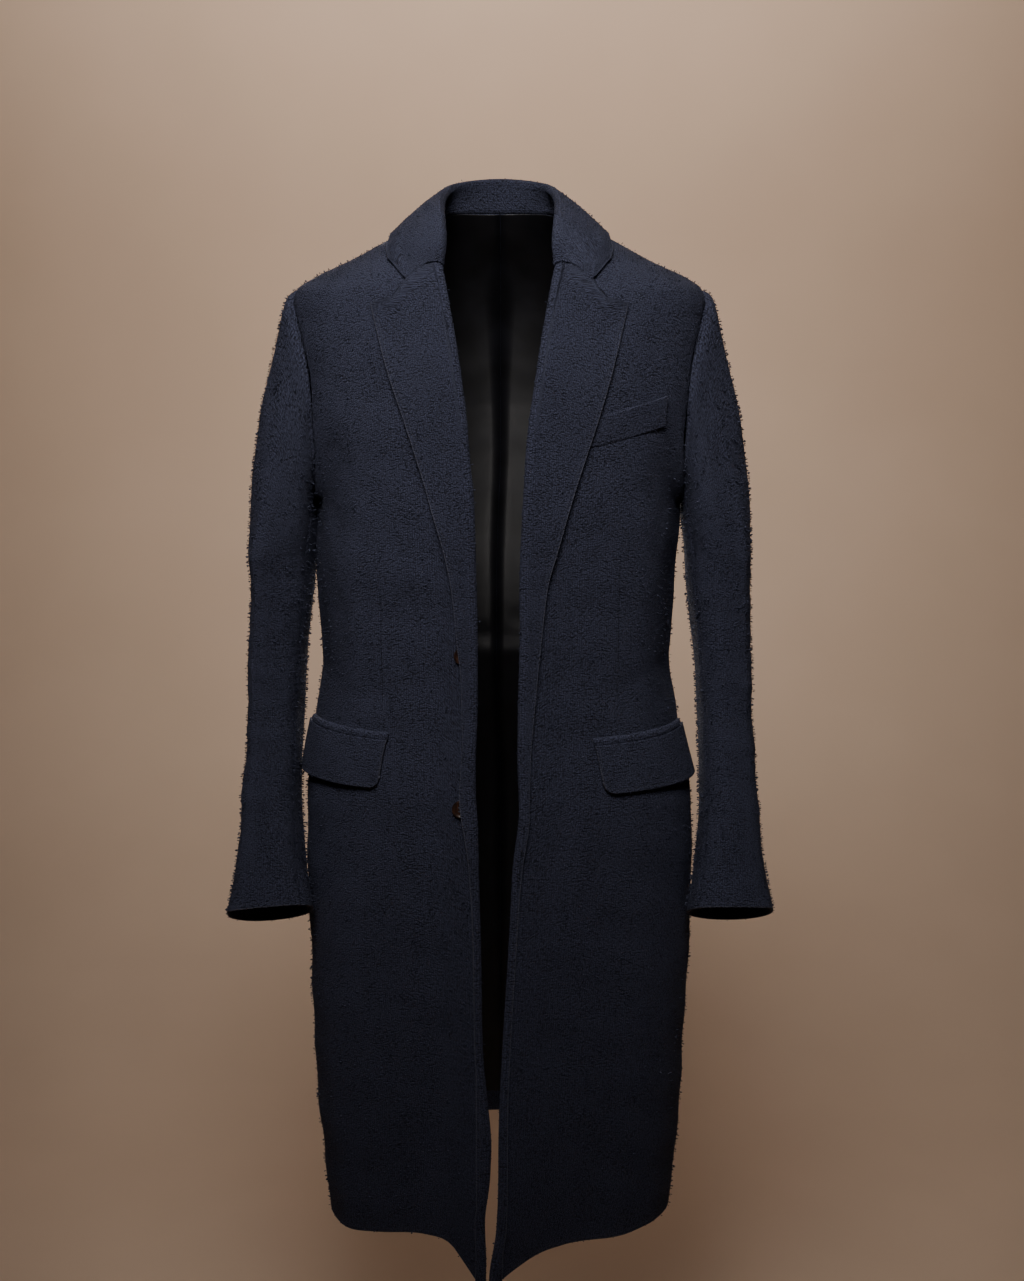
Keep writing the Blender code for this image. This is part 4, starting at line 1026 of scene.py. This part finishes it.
def satin_lining():
    """Black viscose satin lining: smooth and softly glossy, with a fine diagonal twill."""
    satin, tree, shader = started("viscose_satin_lining", "#0C0C10", {
        "Roughness": 0.42, "Specular IOR Level": 0.35})
    metres = node(tree, "UVMap", "UV", uv_map="metres")
    slanted = node(tree, "Mapping", "Vector", {"Vector": metres, "Scale": (1.0 / TWILL,) * 3,
                                               "Rotation": (0.0, 0.0, math.radians(58.0))})
    twill = node(tree, "TexWave", "Fac", {"Vector": slanted, "Scale": 0.32, "Distortion": 0.3},
                 wave_type="BANDS")
    soft = node(tree, "TexNoise", "Fac", {"Vector": metres, "Scale": 1.0 / SHEEN_AREAS,
                                          "Detail": 2.0})
    height = node(tree, "Math", 0, {0: soft, 1: 6.0, 2: twill}, operation="MULTIPLY_ADD")
    # The satin's colour is lighter and darker in soft patches: painted sheen.
    colour = node(tree, "ValToRGB", "Color", {"Fac": soft}, ((0.3, "#08080B"), (0.7, "#121217")))
    relief = node(tree, "Bump", "Normal", {"Strength": 0.35, "Distance": 0.35 * MM,
                                           "Height": height})
    feed(tree, shader, {"Base Color": colour, "Normal": relief})
    return satin


def polished_horn():
    """Polished brown horn: streaked, with a soft gloss."""
    horn, tree, shader = started("polished_horn", "#281812", {
        "Roughness": 0.28, "Coat Weight": 0.5, "Coat Roughness": 0.15})
    place = node(tree, "TexCoord", "Object")
    along = node(tree, "Mapping", "Vector", {"Vector": place, "Scale": HORN_STREAKS,
                                             "Rotation": (0.0, math.radians(35.0), 0.0)})
    grain = node(tree, "TexNoise", "Fac", {"Vector": along, "Scale": 1.0, "Detail": 4.0,
                                           "Distortion": 0.8})
    colour = node(tree, "ValToRGB", "Color", {"Fac": grain},
                  ((0.30, "#120B09"), (0.50, "#281812"), (0.72, "#442C22")))
    relief = node(tree, "Bump", "Normal", {"Strength": 0.15, "Distance": 0.1 * MM,
                                           "Height": grain})
    feed(tree, shader, {"Base Color": colour, "Normal": relief})
    return horn


def sewing_thread():
    """Navy polyester-core sewing thread, with a little more gloss than the wool."""
    thread, tree, shader = started("sewing_thread", "#2B2E3D", {"Roughness": 0.60})
    place = node(tree, "TexCoord", "Object")
    twist = node(tree, "TexNoise", "Fac", {"Vector": place, "Scale": 1.0 / TWIST, "Detail": 1.0})
    colour = node(tree, "ValToRGB", "Color", {"Fac": twist}, ((0.3, "#222431"), (0.7, "#3A3E50")))
    relief = node(tree, "Bump", "Normal", {"Strength": 0.4, "Distance": 0.2 * MM, "Height": twist})
    feed(tree, shader, {"Base Color": colour, "Normal": relief})
    return thread


def wool_locks():
    """Raised ends of the same wool: each a little lighter or darker than its neighbours."""
    wool, tree, shader = started("raised_wool_locks", "#30333F", {
        "Roughness": 0.95, "Sheen Weight": 0.30, "Sheen Roughness": 0.5,
        "Sheen Tint": linear("#8F96B8"), "Specular IOR Level": 0.15})
    place = node(tree, "TexCoord", "Object")
    tone = node(tree, "TexNoise", "Fac", {"Vector": place, "Scale": 1.0 / LOCK_TONES,
                                          "Detail": 2.0})
    colour = node(tree, "ValToRGB", "Color", {"Fac": tone},
                  ((0.30, "#1D1F2B"), (0.50, "#2A2D3C"), (0.72, "#3E4256")))
    feed(tree, shader, {"Base Color": colour})
    return wool


def floor_paint():
    """Pale matt paint, faintly mottled."""
    paint, tree, shader = started("matt_floor_paint", "#E2CBB6", {"Roughness": 0.9})
    place = node(tree, "TexCoord", "Object")
    mottle = node(tree, "TexNoise", "Fac", {"Vector": place, "Scale": MOTTLES, "Detail": 2.0})
    colour = node(tree, "ValToRGB", "Color", {"Fac": mottle},
                  ((0.35, "#E0C9B4"), (0.65, "#E4CDB8")))
    feed(tree, shader, {"Base Color": colour})
    return paint


COATING = wool_coating()
LINING = satin_lining()
HORN = polished_horn()
THREAD = sewing_thread()
LOCKS = wool_locks()


# ------------------------------------------------------------------ placing pieces
def add_object(name, data):
    obj = bpy.data.objects.new(name, data)
    bpy.context.scene.collection.objects.link(obj)
    return obj


def mesh_from(name, bm, *materials):
    """Mesh made from a bmesh, which is then let go."""
    mesh = bpy.data.meshes.new(name)
    bm.to_mesh(mesh)
    bm.free()
    for material in materials:
        mesh.materials.append(material)
    return mesh


def smooth(mesh):
    mesh.polygons.foreach_set("use_smooth", np.ones(len(mesh.polygons), dtype=bool))


def finished(obj):
    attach(obj, "root")


def cloth_piece(name, points, lining=None, edge=None, seam=None, metres=None):
    """Thin shell over a grid of points. lining marks the faces lined on their inner side."""
    rows, columns = points.shape[:2]
    bm = bmesh.new()
    bmesh.ops.create_grid(bm, x_segments=columns - 1, y_segments=rows - 1, size=0.5)
    mesh = mesh_from(name, bm, COATING, LINING, COATING, COATING)
    flat = np.empty(3 * len(mesh.vertices))
    mesh.vertices.foreach_get("co", flat)
    flat = flat.reshape(-1, 3)
    i = np.rint((flat[:, 0] + 0.5) * (columns - 1)).astype(int)
    j = np.rint((flat[:, 1] + 0.5) * (rows - 1)).astype(int)
    mesh.vertices.foreach_set("co", points[j, i].ravel())
    corners = np.empty(len(mesh.loops), dtype=np.int32)
    mesh.loops.foreach_get("vertex_index", corners)
    if metres is None:
        metres = border_distance(points, "left"), border_distance(points, "bottom")
    far = np.ones((rows, columns))
    for layer_name, pair in (("metres", metres), ("edge", (far if edge is None else edge,
                                                           far if seam is None else seam))):
        layer = mesh.uv_layers.new(name=layer_name)
        layer.data.foreach_set("uv", np.stack(pair, axis=-1)[j[corners], i[corners]].ravel())
    lined = np.zeros(len(mesh.polygons), dtype=bool)
    if lining is not None:
        first = corners[::4]
        lined = lining[j[first], i[first]]
    mesh.polygons.foreach_set("material_index", np.where(lined, 0, 2).astype(np.int32))
    smooth(mesh)
    return add_object(name, mesh)


def give_thickness(obj, points, out):
    """Turns the faces of a shell to its way out, then gives it its wall."""
    mesh = obj.data
    face = mesh.polygons[len(mesh.polygons) // 2]
    distance = np.sum((points - np.array(face.center)) ** 2, axis=-1)
    nearest = np.unravel_index(np.argmin(distance), points.shape[:2])
    if float(np.dot(out[nearest], np.array(face.normal))) < 0.0:
        mesh.flip_normals()
    solid = obj.modifiers.new("thickness", "SOLIDIFY")
    solid.thickness = WALL
    solid.offset = 0.0
    solid.use_even_offset = False
    solid.material_offset = 1
    solid.material_offset_rim = 0


# ------------------------------------------------------------------ raised nap and stitches
LOCK_LENGTH = (1.2 * MM, 2.6 * MM)
LOCK_HEIGHT = (0.1 * MM, 0.8 * MM)
LOCK_ROUND = (0.30 * MM, 0.60 * MM)
KNOT_HEIGHT = (1.2 * MM, 2.9 * MM)     # some locks stand up in small knots
KNOT_ROUND = (0.60 * MM, 1.15 * MM)
KNOT_LENGTH = (0.9 * MM, 1.8 * MM)
LOCKS_TO_METRE = 60000       # for each square metre of face
STITCH = 3.4 * MM            # from one stitch to the next
STITCH_SHARE = 0.72          # of that, the part that shows
THREAD_ROUND = 0.28 * MM


def spindles(name, material, root, middle, tip, up, along, radius, sides=3):
    """Closed double-pointed pieces, joined in one mesh."""
    aside = unit(np.cross(along, up))
    up = unit(np.cross(aside, along))
    ring = [middle + radius[:, None] * (up * math.cos(turn) + aside * math.sin(turn))
            for turn in (math.tau * k / sides for k in range(sides))]
    points = np.stack([root, *ring, tip], axis=1).reshape(-1, 3)
    base = (np.arange(len(root)) * (sides + 2))[:, None]
    faces = []
    for k in range(1, sides + 1):
        after = 1 + k % sides
        faces += [base + np.array(((0, k, after),)), base + np.array(((sides + 1, after, k),))]
    mesh = bpy.data.meshes.new(name)
    mesh.from_pydata(points.tolist(), [], np.concatenate(faces).tolist())
    mesh.materials.append(material)
    smooth(mesh)
    obj = add_object(name, mesh)
    finished(obj)
    return obj


def nap(name, points, out, shown, seed, knots):
    """Curled ends of the wool over the shown part of a piece, lying mostly downwards."""
    rng = np.random.default_rng(seed)
    a, b, c = points[:-1, :-1], points[:-1, 1:], points[1:, :-1]
    area = np.linalg.norm(np.cross(b - a, c - a), axis=-1) * (shown[:-1, :-1] & shown[1:, 1:])
    total = float(area.sum())
    count = int(total * LOCKS_TO_METRE)
    cell = np.searchsorted(np.cumsum(area.ravel()) / total, rng.random(count))
    j, i = np.unravel_index(np.minimum(cell, area.size - 1), area.shape)
    s, t = rng.random(count)[:, None], rng.random(count)[:, None]

    def at(values):
        low = values[j, i] * (1.0 - s) + values[j, i + 1] * s
        high = values[j + 1, i] * (1.0 - s) + values[j + 1, i + 1] * s
        return low * (1.0 - t) + high * t

    def either(stands, knot_sizes, lock_sizes):
        return np.where(stands, rng.uniform(*knot_sizes, count), rng.uniform(*lock_sizes, count))

    up = unit(at(out))
    seat = at(points) + up * (WALL / 2.0 - 0.15 * MM)
    down = np.array((0.0, 0.0, -1.0)) + 0.0 * up
    down = unit(down - up * dot(down, up)[:, None] + 1e-6)
    yaw = rng.normal(0.0, 1.0, count)[:, None]
    along = down * np.cos(yaw) + np.cross(up, down) * np.sin(yaw)
    knot = rng.random(count) < knots
    length = either(knot, KNOT_LENGTH, LOCK_LENGTH)[:, None]
    low = LOCK_HEIGHT[0] + (LOCK_HEIGHT[1] - LOCK_HEIGHT[0]) * rng.random(count) ** 2
    height = np.where(knot, rng.uniform(*KNOT_HEIGHT, count), low)[:, None]
    radius = either(knot, KNOT_ROUND, LOCK_ROUND)
    turn = rng.normal(0.0, 0.5, count)[:, None]
    bent = along * np.cos(turn) + np.cross(up, along) * np.sin(turn)
    middle = seat + along * length * 0.5 + up * height
    tip = middle + bent * length * 0.5 - up * height * rng.uniform(0.0, 1.1, count)[:, None]
    return spindles(name, LOCKS, seat, middle, tip, up, along, radius)


def inset_line(points, out, border, inset, low, high):
    """Points and ways out on a line that runs a set distance in from a border of a grid."""
    far = border_distance(points, border)
    if border in ("bottom", "top"):
        points, out, far = (np.swapaxes(a, 0, 1) for a in (points, out, far))
    last = len(points) - 1
    line, ways = [], []
    for row in range(int(low * last), int(high * last) + 1):
        order = np.argsort(far[row])
        for found, values in ((line, points), (ways, out)):
            found.append([np.interp(inset, far[row][order], values[row][order][:, k])
                          for k in range(3)])
    return np.array(line), unit(np.array(ways))


def topstitch(points, out, border, inset=EDGE_STITCH, low=0.0, high=1.0):
    """Adds the root, middle, tip, way out and direction of each stitch of one row."""
    line, ways = inset_line(points, out, border, inset, low, high)
    steps = np.concatenate(([0.0], np.cumsum(np.linalg.norm(np.diff(line, axis=0), axis=1))))
    starts = np.arange(0.5 * STITCH, steps[-1] - STITCH, STITCH)

    def at(values, where):
        return np.stack([np.interp(where, steps, values[:, k]) for k in range(3)], axis=-1)

    up = unit(at(ways, starts))
    root, middle, tip = (at(line, starts + STITCH * share) + up * (WALL / 2.0 + lift)
                         for share, lift in ((0.0, -0.25 * MM), (STITCH_SHARE / 2.0, 0.22 * MM),
                                             (STITCH_SHARE, -0.25 * MM)))
    runs.append((root, middle, tip, up, unit(tip - root)))


# ------------------------------------------------------------------ buttons and buttonholes
BUTTON_RADIUS = 9.5 * MM
BUTTON_THICK = 3.4 * MM
BUTTON_HOLE = 1.0 * MM          # radius of each of the four holes
BUTTON_HOLE_OUT = 2.1 * MM      # each hole from the middle, along both ways
DRILL = 0.02                    # length of the rods that cut the holes
BUTTON_THREAD = 0.35 * MM       # radius of a strand
STRANDS_APART = 0.0008          # two strands in each pair of holes
STRAND_PAST = 0.0012            # strand longer than from hole to hole
BUTTONS = {"upper": (-0.426, 0.0317), "lower": (-0.585, 0.0374)}    # height, out from the axis
BUTTONHOLES = (-0.414, -0.563)      # heights, on the turned-out edge of the left front
BUTTONHOLE_PITCH = 0.8 * MM
BUTTONHOLE_BAR = 1.5 * MM           # length of each worked stitch


def disc(name):
    """Button body with a rolled rim and a shallow dish, flat on z = 0."""
    r, h = BUTTON_RADIUS, BUTTON_THICK
    profile = ((0.0, 0.0), (r * 0.72, 0.0), (r * 0.90, 0.0004), (r * 0.98, 0.0012), (r, 0.0019),
               (r * 0.985, 0.0027), (r * 0.94, h * 0.95), (r * 0.87, h), (r * 0.79, h * 0.94),
               (r * 0.71, h * 0.80), (r * 0.60, h * 0.72), (0.0, h * 0.68))
    bm = bmesh.new()
    verts = [bm.verts.new((radius, 0.0, height)) for radius, height in profile]
    edges = [bm.edges.new(pair) for pair in zip(verts, verts[1:])]
    bmesh.ops.spin(bm, geom=verts + edges, axis=(0.0, 0.0, 1.0), cent=(0.0, 0.0, 0.0),
                   angle=math.tau, steps=48, use_merge=True)
    bmesh.ops.remove_doubles(bm, verts=bm.verts, dist=1e-6)
    bmesh.ops.recalc_face_normals(bm, faces=bm.faces)
    return add_object(name, mesh_from(name, bm))


def rods(name, places, radius, length, segments, turn=None):
    """Round rods centred on the places, upright unless turned."""
    bm = bmesh.new()
    for place in places:
        made = bmesh.ops.create_cone(bm, cap_ends=True, segments=segments, radius1=radius,
                                     radius2=radius, depth=length)
        where = Matrix.Translation(place) @ (turn or Matrix())
        bmesh.ops.transform(bm, matrix=where, verts=made["verts"])
    return mesh_from(name, bm)


def button(solid, z, centre):
    """Horn button with four holes and its thread, laid on the right front."""
    name = solid + "_horn"
    ways = (-1, 1)
    body = disc(name)
    holes = [(sx * BUTTON_HOLE_OUT, sy * BUTTON_HOLE_OUT, 0.0) for sx in ways for sy in ways]
    drills = add_object("drill", rods("drill", holes, BUTTON_HOLE, DRILL, 16))
    cut = body.modifiers.new("holes", "BOOLEAN")
    cut.object = drills
    cut.solver = "EXACT"
    depsgraph = bpy.context.evaluated_depsgraph_get()
    mesh = bpy.data.meshes.new_from_object(body.evaluated_get(depsgraph))
    for used in (drills, body):
        bpy.data.objects.remove(used, do_unlink=True)
    mesh.materials.clear()
    mesh.materials.append(HORN)
    for polygon in mesh.polygons:
        polygon.use_smooth = len(polygon.vertices) <= 4
    strands = [(0.0, sy * BUTTON_HOLE_OUT + k * STRANDS_APART, BUTTON_THICK * 0.80)
               for sy in ways for k in (-0.5, 0.5)]
    lying = Vector((1.0, 0.0, 0.0)).to_track_quat("Z", "Y").to_matrix().to_4x4()
    reach = 2.0 * BUTTON_HOLE_OUT + STRAND_PAST
    thread = rods(name + "_thread", strands, BUTTON_THREAD, reach, 8, lying)
    thread.materials.append(THREAD)
    seat, out = torso(-1, angle_at(centre, z), z, WALL / 2.0 + 0.0005)
    turn = Vector(out).to_track_quat("Z", "Y").to_matrix().to_4x4()
    turn.translation = Vector(seat)

    def laid(piece_name, piece):
        piece.transform(turn)
        obj = add_object(piece_name, piece)
        finished(obj)
        return obj

    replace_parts(laid(name, mesh), solid)
    laid(name + "_thread", thread)


def buttonhole(z):
    """Worked stitches above and below a slit across the turned-out edge of the left front."""
    x0 = float(front_edge_x(1, z))
    x1 = max(float(lapel_x(1, z)), x0 + STRIP_LEAST)
    x = np.arange(x0 - 0.0015, x1 - 0.0015, BUTTONHOLE_PITCH)
    share = np.clip((x - x0) / (x1 - x0), 0.0, 1.0)
    lift = lapel_lift(z, share, x1 - x0) + WALL / 2.0
    for way in (-1.0, 1.0):
        near = z + way * 0.25 * MM + 0.0 * x
        far = near + way * BUTTONHOLE_BAR
        root, up = torso(1, angle_at(x, near), near, lift)
        tip, _ = torso(1, angle_at(x, far), far, lift)
        runs.append((root, (root + tip) / 2.0 + up * 0.30 * MM, tip, up, unit(tip - root)))


# ------------------------------------------------------------------ putting the coat together
HEM_BAND = 0.022         # coating turned up inside the hem
CUFF_BAND = 0.035        # and inside the cuff
runs = []                # rows of stitches, made as one mesh at the end


def dress(solid, points, out, seed, lining=None, shown=None,
          edge=None, seam=None, metres=None, knots=0.13):
    """Makes the cloth of one solid with its nap."""
    obj = cloth_piece(solid + "_cloth", points, lining, edge, seam, metres)
    give_thickness(obj, points, out)
    finished(obj)
    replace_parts(obj, solid)
    if shown is None:
        shown = np.ones(points.shape[:2], dtype=bool)
    locks = nap(solid + "_cloth_nap", points, out, shown, seed, knots)


def columns_from(points, first):
    """Marks the columns of a grid from the first one on."""
    return np.broadcast_to(np.arange(points.shape[1]) >= first, points.shape[:2])


def build_body(side, word):
    points, out, dart = front_panel(side)
    x, z = points[..., 0] * side, points[..., 2]
    under = (x < lapel_x(side, z) - 0.006) & (z < -0.078)
    under |= (z >= -0.078) & (x < 0.095 + 0.6 * np.maximum(0.0, -0.045 - z))
    hem = border_distance(points, "bottom")
    dress("front_" + word, points, out, 40 + side, lining=hem > HEM_BAND,
          shown=~under, edge=hem, seam=dart)
    points, out = back_panel(side)
    hem = border_distance(points, "bottom")
    dress("back_" + word, points, out, 50 + side, lining=hem > HEM_BAND,
          shown=points[..., 2] < -0.006, edge=hem)


def build_lapel(side, word):
    points, out, (inner, turns, outer) = lapel_panel(side)
    edge = border_distance(points, "right")
    edge[:, :inner + turns] = 1.0
    dress("lapel_" + word, points, out, 60 + side,
          shown=columns_from(points, inner + 2), edge=edge, knots=0.04)
    topstitch(points, out, "right", low=0.02, high=0.995)
    first = (inner + turns + outer * 0.55) / points.shape[1]
    topstitch(points, out, "top", low=first, high=0.97)


def build_collar():
    points, out = collar_panel()
    dress("collar", points, out, 70,
          shown=columns_from(points, 8), edge=border_distance(points, "right"), knots=0.02)
    topstitch(points, out, "right", low=0.01, high=0.99)
    for border in ("bottom", "top"):
        topstitch(points, out, border, low=0.86, high=0.97)


def build_sleeve(side, word):
    first, last = TOP_SLEEVE
    for solid, seed, start, end, columns, flat, area in (
            ("top_sleeve_", 80, first, last, 60, (0.27, 0.70), 0.146),
            ("under_sleeve_", 84, last, first + 360.0, 26, (0.12, 0.56), 0.045)):
        points, out, metres = sleeve_panel(side, start, end, columns)
        cuff = border_distance(points, "top")
        dress(solid + word, points, out, seed + side, lining=cuff > CUFF_BAND,
              edge=cuff, metres=metres, knots=0.34)


def build_pocket(side, word):
    points, out = flap_panel(side)
    borders = "left", "right", "top"
    dress("pocket_flap_" + word, points, out, 90 + side,
          edge=nearest_border(points, *borders) + 0.0006, knots=0.02)
    for border, low, high in zip(borders, (0.0, 0.0, 0.05), (0.9, 0.9, 0.97)):
        topstitch(points, out, border, low=low, high=high)
    points, out = jet_panel(side)
    dress("pocket_jet_" + word, points, out, 95 + side,
          knots=0.0)


def build_welt():
    points, out = welt_panel(1)
    dress("chest_welt", points, out, 99,
          edge=border_distance(points, "right"), knots=0.0)
    topstitch(points, out, "right", 0.0030)


def build_stitches():
    for z in BUTTONHOLES:
        buttonhole(z)
    rows = [np.concatenate(parts) for parts in zip(*runs)]
    spindles("topstitching", THREAD, *rows, np.full(len(rows[0]), THREAD_ROUND), sides=4)


# ------------------------------------------------------------------ floor, light and camera
FLOOR = -1.56            # the coat hangs at the height where a wearer's shoulders hold it
WALL_BEHIND = 2.6
SWEEP = 1.6              # radius where the floor turns up into the wall
SWEEP_STEPS = 12
STUDIO = (-7.0, 7.0)     # floor and wall from side to side
STUDIO_FRONT = -5.0      # near end of the floor
STUDIO_TOP = 4.0         # top of the wall


def area_light(name, place, aim, size, power, colour="#FFFFFF", spread=180.0):
    light = bpy.data.lights.new(name, "AREA")
    light.shape = "DISK"
    light.size = size
    light.energy = power
    light.color = linear(colour)[:3]
    light.spread = math.radians(spread)
    obj = add_object(name, light)
    obj.location = place
    obj.rotation_euler = (Vector(aim) - Vector(place)).to_track_quat("-Z", "Y").to_euler()
    return obj


def build_studio():
    """Pale floor that sweeps up into a pale wall, soft lights in front, above and behind."""
    corner = WALL_BEHIND - SWEEP
    profile = [(STUDIO_FRONT, FLOOR), (corner, FLOOR)]
    for k in range(1, SWEEP_STEPS + 1):
        turn = math.pi / 2.0 * k / SWEEP_STEPS
        profile.append((corner + SWEEP * math.sin(turn), FLOOR + SWEEP * (1.0 - math.cos(turn))))
    profile.append((WALL_BEHIND, STUDIO_TOP))
    bm = bmesh.new()
    verts = [bm.verts.new((STUDIO[0], y, z)) for y, z in profile]
    edges = [bm.edges.new(pair) for pair in zip(verts, verts[1:])]
    swept = bmesh.ops.extrude_edge_only(bm, edges=edges)["geom"]
    moved = [v for v in swept if isinstance(v, bmesh.types.BMVert)]
    bmesh.ops.translate(bm, verts=moved, vec=(STUDIO[1] - STUDIO[0], 0.0, 0.0))
    bmesh.ops.recalc_face_normals(bm, faces=bm.faces)
    mesh = mesh_from("studio_floor", bm, floor_paint())
    smooth(mesh)
    add_object("studio_floor", mesh)

    world = bpy.data.worlds.new("studio")
    bpy.context.scene.world = world
    world.use_nodes = True
    background = world.node_tree.nodes["Background"]
    background.inputs["Color"].default_value = linear("#D9D2CA")
    background.inputs["Strength"].default_value = 0.024
    warm = "#FFF9F4"
    area_light("key", (-0.08, -1.34, 0.84), (0.0, 0.0, -0.22), 0.75, 3.95, warm, 57.0)
    area_light("rim", (0.5, 1.1, 1.5), (0.0, 0.0, -0.2), 1.0, 3.0)
    back_fill = area_light("back_fill", (-0.12, 1.75, 0.05), (0.0, 0.0, -0.38), 0.9, 5.6, warm,
                           64.0)
    back_fill.visible_camera = False
    area_light("wall_wash", (0.0, 0.5, 2.5), (0.0, WALL_BEHIND, 1.15), 2.2, 30.0, "#FFEFE2", 80.0)


def build_camera():
    lens = bpy.data.cameras.new("camera")
    lens.sensor_fit = "VERTICAL"
    lens.sensor_height = 36.0
    lens.lens = 53.4
    obj = add_object("camera", lens)
    obj.location = (0.0126, -2.0, -0.026)
    obj.rotation_euler = (math.radians(90.0 - 11.6), 0.0, 0.0)
    bpy.context.scene.camera = obj


SIDES = ((1, "left"), (-1, "right"))
for build in (build_body, build_lapel):
    for pair in SIDES:
        build(*pair)
build_collar()
for build in (build_sleeve, build_pocket):
    for pair in SIDES:
        build(*pair)
build_welt()
for place, (height, out_from_axis) in BUTTONS.items():
    button("button_" + place, height, out_from_axis)
build_stitches()
build_studio()
build_camera()
